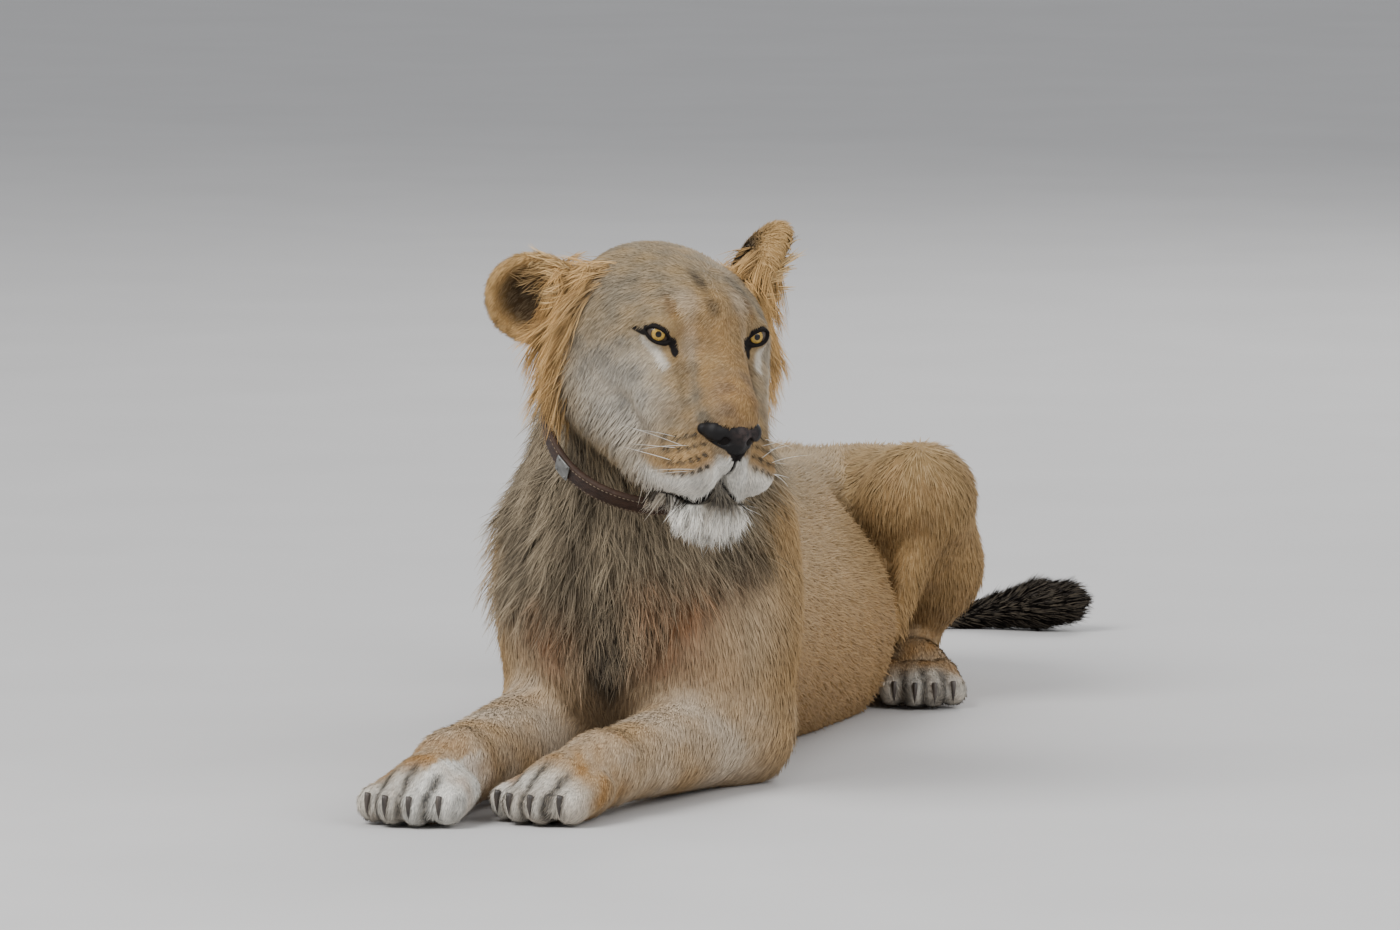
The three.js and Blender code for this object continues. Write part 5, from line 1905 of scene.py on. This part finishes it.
class LION_OT_short_coat(LionOperator):
    """Lays the short coat over the skin in thin overlapping tufts"""

    bl_idname = "lion.short_coat"
    bl_label = "Short coat"

    def execute(self, context):
        skin, settings = MADE["skin"], coat_settings()
        tuft = bpy.data.objects.new("tuft", tuft_mesh())
        bpy.context.scene.collection.objects.link(tuft)
        tree = tuft_tree()
        material = hair_finish("short coat", 0.7, 1.16, vary=0.3)
        sizes = {part: np.array(row, float) for part, row in COATS.items()}
        blended = sum(skin.weights[part][:, None] * sizes[part] for part in COATS)
        spacing = blended[:, 3] / (settings.fullness * GROWN)
        bare = self.bare(skin)
        blended[:, :2] *= 1 - 0.5 * self.near_eyes(skin)[:, None]
        for own, (name, (parts, half)) in enumerate(SHORT_COATS.items()):
            rng = self.rng(own)
            share = skin.share(*parts)
            if half:
                across = skin.points[skin.faces[share]].mean(1)[:, 0]
                share = share[across * half > 0]
            roots = Roots(skin, share, spacing, rng, keep=bare)
            count = len(roots.points)
            length, width, lift, _ = roots.mean(blended).T
            length = length * settings.length * rng.uniform(0.7, 1.15, count)
            stray = rng.normal(0, 0.1, (count, 3))
            aim = unit(roots.lie + stray + roots.normals * (lift * rng.uniform(0.6, 1.5, count))[:, None])
            size = np.stack([length, width * rng.uniform(0.8, 1.3, count), width * 0.45], 1) * MM
            values = {"aim": aim, "rise": roots.normals, "size": size, "tint": roots.tint,
                      "tone": rng.uniform(0, 1, count),
                      "root": in_space(roots.map)}
            mesh = grown(name, tree, tuft, roots, values, material)
            lifted_clear(mesh)
            finished(name, mesh, material)
        bpy.data.objects.remove(tuft)
        return {"FINISHED"}

    def near_eyes(self, skin):
        h = HEAD.local(skin.points)
        return sum(spot(from_eye(h, s), (14, -2, -2), (24, 34, 24), 0.4) for _, s in SIDES)

    def bare(self, skin):
        """1 where hair grows, 0 on eye rims, lips and the nose's seat, and on the flats underneath."""
        h = HEAD.local(skin.points)
        keep = np.ones(len(h))
        for side, s in SIDES:
            keep[(eye_line(h, side, s) > 0.5) & (h[:, 1] * s > 0)] = 0
        side, u = np.abs(h[:, 1]), h[:, 2]
        keep[lip_line(h[:, 0], side, u, u - lip_height(side)) > 0.5] = 0
        keep[nose_seat(h) > 0.5] = 0
        keep[skin.points[:, 2] < 1.2] = 0
        return keep


class LION_OT_mane(LionOperator):
    """Hangs the thin mane of neck and chest in locks"""

    bl_idname = "lion.mane"
    bl_label = "Mane"

    def execute(self, context):
        skin = MADE["skin"]
        material = hair_finish("mane hair", 0.5, 1.3, sun=0.25, vary=0.9)
        regions = ("neck", "chest", "flank", "back", "upper_arm", "jaw")
        for own, (name, keep) in enumerate((("mane_neck", neck_keep), ("mane_chest", chest_keep))):
            rng = self.rng(50 + own)
            roots = hair_roots(name, skin, regions, rng, keep(skin, skin.points))
            across, _, z = roots.points.T
            parted = np.clip((across + 25) / 70, -1, 1) * np.clip((z - 190) / 120, -0.6, 0.7)
            roots.lie = laid(roots.lie + parted[:, None] * (1, 0, 0), roots.normals)
            long_hair(name, name, roots, skin, rng, material)
        return {"FINISHED"}


def neck_keep(skin, p):
    """Round the neck, and a little way forward under the jaw."""
    over_neck = skin.weights["neck"] * ramp(p[:, 2], 265, 330)
    under_jaw = skin.weights["jaw"] * ramp(p[:, 1], -150, -120)
    return (over_neck + under_jaw) * ramp(p[:, 1], 120, 40)


def chest_keep(skin, p):
    """The bib: down to the breastbone in the middle, ending higher over each shoulder."""
    front = skin.weights["chest"] + skin.weights["neck"] * ramp(p[:, 2], 360, 290)
    front = front + 0.4 * skin.weights["flank"] * ramp(p[:, 1], 60, 0)
    above = p[:, 2] - hem_height(p)
    throat = spot(p, (-30, -150, 272), (36, 200, 44), 0.6)
    return front * ramp(p[:, 1], 90, 10) * ramp(above, 14, 60) * (1 - 0.6 * throat)


EAR_CREAM = (0.64, 0.43, 0.2)
WHISKER_WHITE = (0.85, 0.83, 0.78)


class LION_OT_face_hair(LionOperator):
    """Grows the ruffs, the hair in the ears, the beard, the whiskers and the elbow tufts"""

    bl_idname = "lion.face_hair"
    bl_label = "Ruffs, ears, beard"

    def execute(self, context):
        skin = MADE["skin"]
        gold = hair_finish("gold hair", 0.55, 1.3, vary=0.6)
        h = HEAD.local(skin.points)
        for side, s in SIDES:
            rng = self.rng(80 + s)
            line = chain("ruff", RUFFS[side], [1, 1, 1], 1, HEAD)
            reach = line.distance(skin.points)
            keep = ramp(reach, 34, 20) * (h[:, 0] < -50)
            roots = hair_roots("ruff_hair", skin, ("ruff", "cheek", "head", "ear", "neck", "jaw"), rng, keep)
            flow = HEAD.direction((-0.2, 0.12 * s, -1))
            roots.lie = laid(roots.lie * 0.2 + flow, roots.normals)
            warm = np.array(colours().gold) * (0.8 + 0.4 * rng.random((len(roots.points), 1)))
            roots.tint = roots.tint * 0.25 + warm * 0.75
            long_hair(f"ruff_hair_{side}", "ruff_hair", roots, skin, rng, gold)
            self.ear(skin, side, s, gold)
        self.beard(skin, h)
        self.elbows(skin)
        self.whiskers(skin, h)
        return {"FINISHED"}

    def ear(self, skin, side, s, material):
        rng = self.rng(90 + s)
        local = EAR_FRAMES[side].local(skin.points)
        facing = skin.normals @ EAR_FRAMES[side].rows[0]
        keep = ramp(facing, -0.1, 0.3) * ramp(local[:, 1] * -s, 6, 26) * ramp(local[:, 2], 78, 50)
        keep = keep * (np.linalg.norm(local, axis=1) < 150)
        roots = hair_roots("ear_hair", skin, ("ear",), rng, keep)
        flow = np.tile(EAR_FRAMES[side].direction((0.4, s * 0.25, 0.85)), (len(roots.points), 1))
        roots.lie = unit(flow)
        cream = np.array(EAR_CREAM) * (0.75 + 0.5 * rng.random((len(roots.points), 1)))
        roots.tint = roots.tint * 0.2 + cream * 0.8
        long_hair(f"ear_hair_{side}", "ear_hair", roots, skin, rng, material)

    def beard(self, skin, h):
        rng = self.rng(100)
        on_chin = skin.weights["chin"] * ramp(h[:, 2], -160, -170)
        on_jaw = skin.weights["jaw"] * 0.4 * ramp(h[:, 2], -155, -175) * (h[:, 0] > 40)
        roots = hair_roots("beard", skin, ("chin", "jaw"), rng, on_chin + on_jaw)
        spread = np.clip(HEAD.local(roots.points)[:, 1:2] / 45, -1, 1) * HEAD.rows[1] * 0.55
        roots.lie = laid(roots.lie * 0.2 + HEAD.direction((0.3, 0, -1)) + spread, roots.normals)
        long_hair("beard", "beard", roots, skin, rng, hair_finish("white hair", 0.9, 1.3))

    def elbows(self, skin):
        rng = self.rng(110)
        keep = np.zeros(len(skin.points))
        for side, _ in SIDES:
            away = np.linalg.norm(skin.points - np.array(ELBOWS[side]) - (0, 40, -20), axis=1)
            keep += ramp(away, 46, 30)
        regions = ("forearm", "upper_arm", "flank", "chest")
        roots = hair_roots("elbow_tufts", skin, regions, rng, keep)
        roots.tint = roots.tint * 0.5 + np.array(colours().pale) * 0.45
        outward = np.sign(roots.points[:, :1]) * (1.0, 0, 0)
        roots.lie = laid(outward + (0, 0.5, -0.5), roots.normals)
        long_hair("elbow_tufts", "elbow_tufts", roots, skin, rng, hair_finish("elbow hair"))

    def whiskers(self, skin, h):
        rng = self.rng(120)
        spots = []
        for _, s in SIDES:
            for number, (across, up) in enumerate(whisker_roots()):
                if number % 5 and rng.random() < 0.6:
                    away = np.hypot(h[:, 1] * s - across, h[:, 2] - up) + 1e3 * (h[:, 0] < 50)
                    spots.append((away.argmin(), s))
        index = np.array([i for i, _ in spots])
        s = np.array([s for _, s in spots])[:, None]
        count = len(index)
        flow = np.stack([-0.75 + 0 * s[:, 0], 0.7 * s[:, 0], -0.28 + 0.3 * rng.uniform(-1, 1, count)], 1)
        roots = SimpleNamespace(
            points=skin.points[index] - skin.normals[index], normals=skin.normals[index],
            lie=unit(HEAD.direction(flow)), tint=np.tile(WHISKER_WHITE, (count, 1)),
            map=spread_out(count))
        material = hair_finish("whisker", 0.9, 1.1, 0.4)
        long_hair("whiskers", "whiskers", roots, skin, rng, material, share=0.0)


class LION_OT_tail_brush(LionOperator):
    """Fills the black brush at the end of the tail"""

    bl_idname = "lion.tail_brush"
    bl_label = "Tail brush"

    def execute(self, context):
        skin, rng = MADE["skin"], self.rng(130)
        keep = ramp(skin.points[:, 0], 70, 95)
        roots = hair_roots("tail_brush", skin, ("tuft", "tail"), rng, keep)
        line = np.array(TUFT[-1]) - np.array(TUFT[0])
        roots.lie = laid(np.tile(line / np.linalg.norm(line), (len(roots.points), 1)), roots.normals)
        roots.tint = roots.tint * 0.4
        material = hair_finish("black hair", 0.7, 1.1, 0.85, 0.0, gloss=0.02)
        long_hair("tail_brush", "tail_brush", roots, skin, rng, material)
        return {"FINISHED"}


# ---------------------------------------------------------------- stage

CAMERA_AZIMUTH = 10
CAMERA_RISE = 6.8
CAMERA_AWAY = 14900
CAMERA_LENS = 339.4
AIM_ACROSS = -78
AIM_DOWN = -322
FOCAL = 13200
CAMERA_PIVOT = (150.0, 0, 0)
FLOOR = [(-14, -14, 0), (14, -14, 0), (14, 30, 0), (-14, 30, 0)]
LAMP_AIM = (0, 0, 0.3)
LAMPS = (  # name, place, size, power
    ("key", (-3.2, -4.2, 5.2), 4.0, 520),
    ("fill", (4.6, -3.2, 3.2), 4.5, 200),
    ("back", (1.5, 6.0, 4.5), 4.0, 260),
)
SKY = (0.78, 0.8, 0.84, 1)
SKY_STRENGTH = 0.75


class LION_OT_stage(LionOperator):
    """Sets the floor, the soft lights and the camera"""

    bl_idname = "lion.stage"
    bl_label = "Stage"

    def execute(self, context):
        scene = context.scene
        finish = Finish("studio floor")
        cloud = finish.noise(3, 2)
        material = finish.surface(Base_Color=finish.mix(cloud, (0.5, 0.49, 0.48), (0.56, 0.55, 0.54)),
                                  Roughness=cloud * 0.1 + 0.8)
        mesh = make_mesh("floor", FLOOR, [(0, 1, 2, 3)])
        floor = bpy.data.objects.new("floor", mesh)
        scene.collection.objects.link(floor)
        mesh.materials.append(material)
        for name, place, size, power in LAMPS:
            light = bpy.data.lights.new(name, "AREA")
            light.energy, light.size = power, size
            lamp = bpy.data.objects.new(name, light)
            lamp.location = place
            lamp.rotation_euler = (Vector(LAMP_AIM) - Vector(place)).to_track_quat("-Z", "Y").to_euler()
            scene.collection.objects.link(lamp)
        world = bpy.data.worlds.new("studio")
        world.use_nodes = True
        sky = world.node_tree.nodes["Background"]
        sky.inputs["Color"].default_value = SKY
        sky.inputs["Strength"].default_value = SKY_STRENGTH
        scene.world = world
        self.camera(scene)
        return {"FINISHED"}

    def camera(self, scene):
        a, e = math.radians(CAMERA_AZIMUTH), math.radians(CAMERA_RISE)
        ahead = np.array([-math.sin(a) * math.cos(e), math.cos(a) * math.cos(e), -math.sin(e)])
        across = np.array([math.cos(a), math.sin(a), 0.0])
        rise = np.cross(across, ahead)
        data = bpy.data.cameras.new("camera")
        data.lens, data.sensor_width = CAMERA_LENS, 36.0
        data.clip_end = 100
        camera = bpy.data.objects.new("camera", data)
        scene.collection.objects.link(camera)
        camera.location = Vector(to_part(np.array(CAMERA_PIVOT) - ahead * CAMERA_AWAY))
        aim = ahead * FOCAL + across * AIM_ACROSS - rise * AIM_DOWN
        camera.rotation_euler = Vector(aim).to_track_quat("-Z", "Y").to_euler()
        scene.camera = camera


class LION_PT_panel(bpy.types.Panel):
    """The lion's sizes and colours, and a button for each piece."""

    bl_label = "Lying lion"
    bl_idname = "LION_PT_panel"
    bl_space_type = "VIEW_3D"
    bl_region_type = "UI"
    bl_category = "Lion"

    def draw(self, context):
        for group in (context.scene.lion_coat, context.scene.lion_colours):
            for name in group.__annotations__:
                self.layout.prop(group, name)
        for operator in OPERATORS:
            self.layout.operator(operator.bl_idname)


GROUPS = (LionColours, LionCoat)
OPERATORS = (LION_OT_stage, LION_OT_skin, LION_OT_eyes, LION_OT_nose, LION_OT_claws, LION_OT_collar,
             LION_OT_short_coat, LION_OT_mane, LION_OT_face_hair, LION_OT_tail_brush)


def register():
    for cls in GROUPS + OPERATORS + (LION_PT_panel,):
        bpy.utils.register_class(cls)
    bpy.types.Scene.lion_colours = PointerProperty(type=LionColours)
    bpy.types.Scene.lion_coat = PointerProperty(type=LionCoat)


def unregister():
    del bpy.types.Scene.lion_coat
    del bpy.types.Scene.lion_colours
    for cls in reversed(GROUPS + OPERATORS + (LION_PT_panel,)):
        bpy.utils.unregister_class(cls)


def main():
    register()
    for operator in OPERATORS:
        group, name = operator.bl_idname.split(".")
        getattr(getattr(bpy.ops, group), name)()


if __name__ == "__main__":
    main()
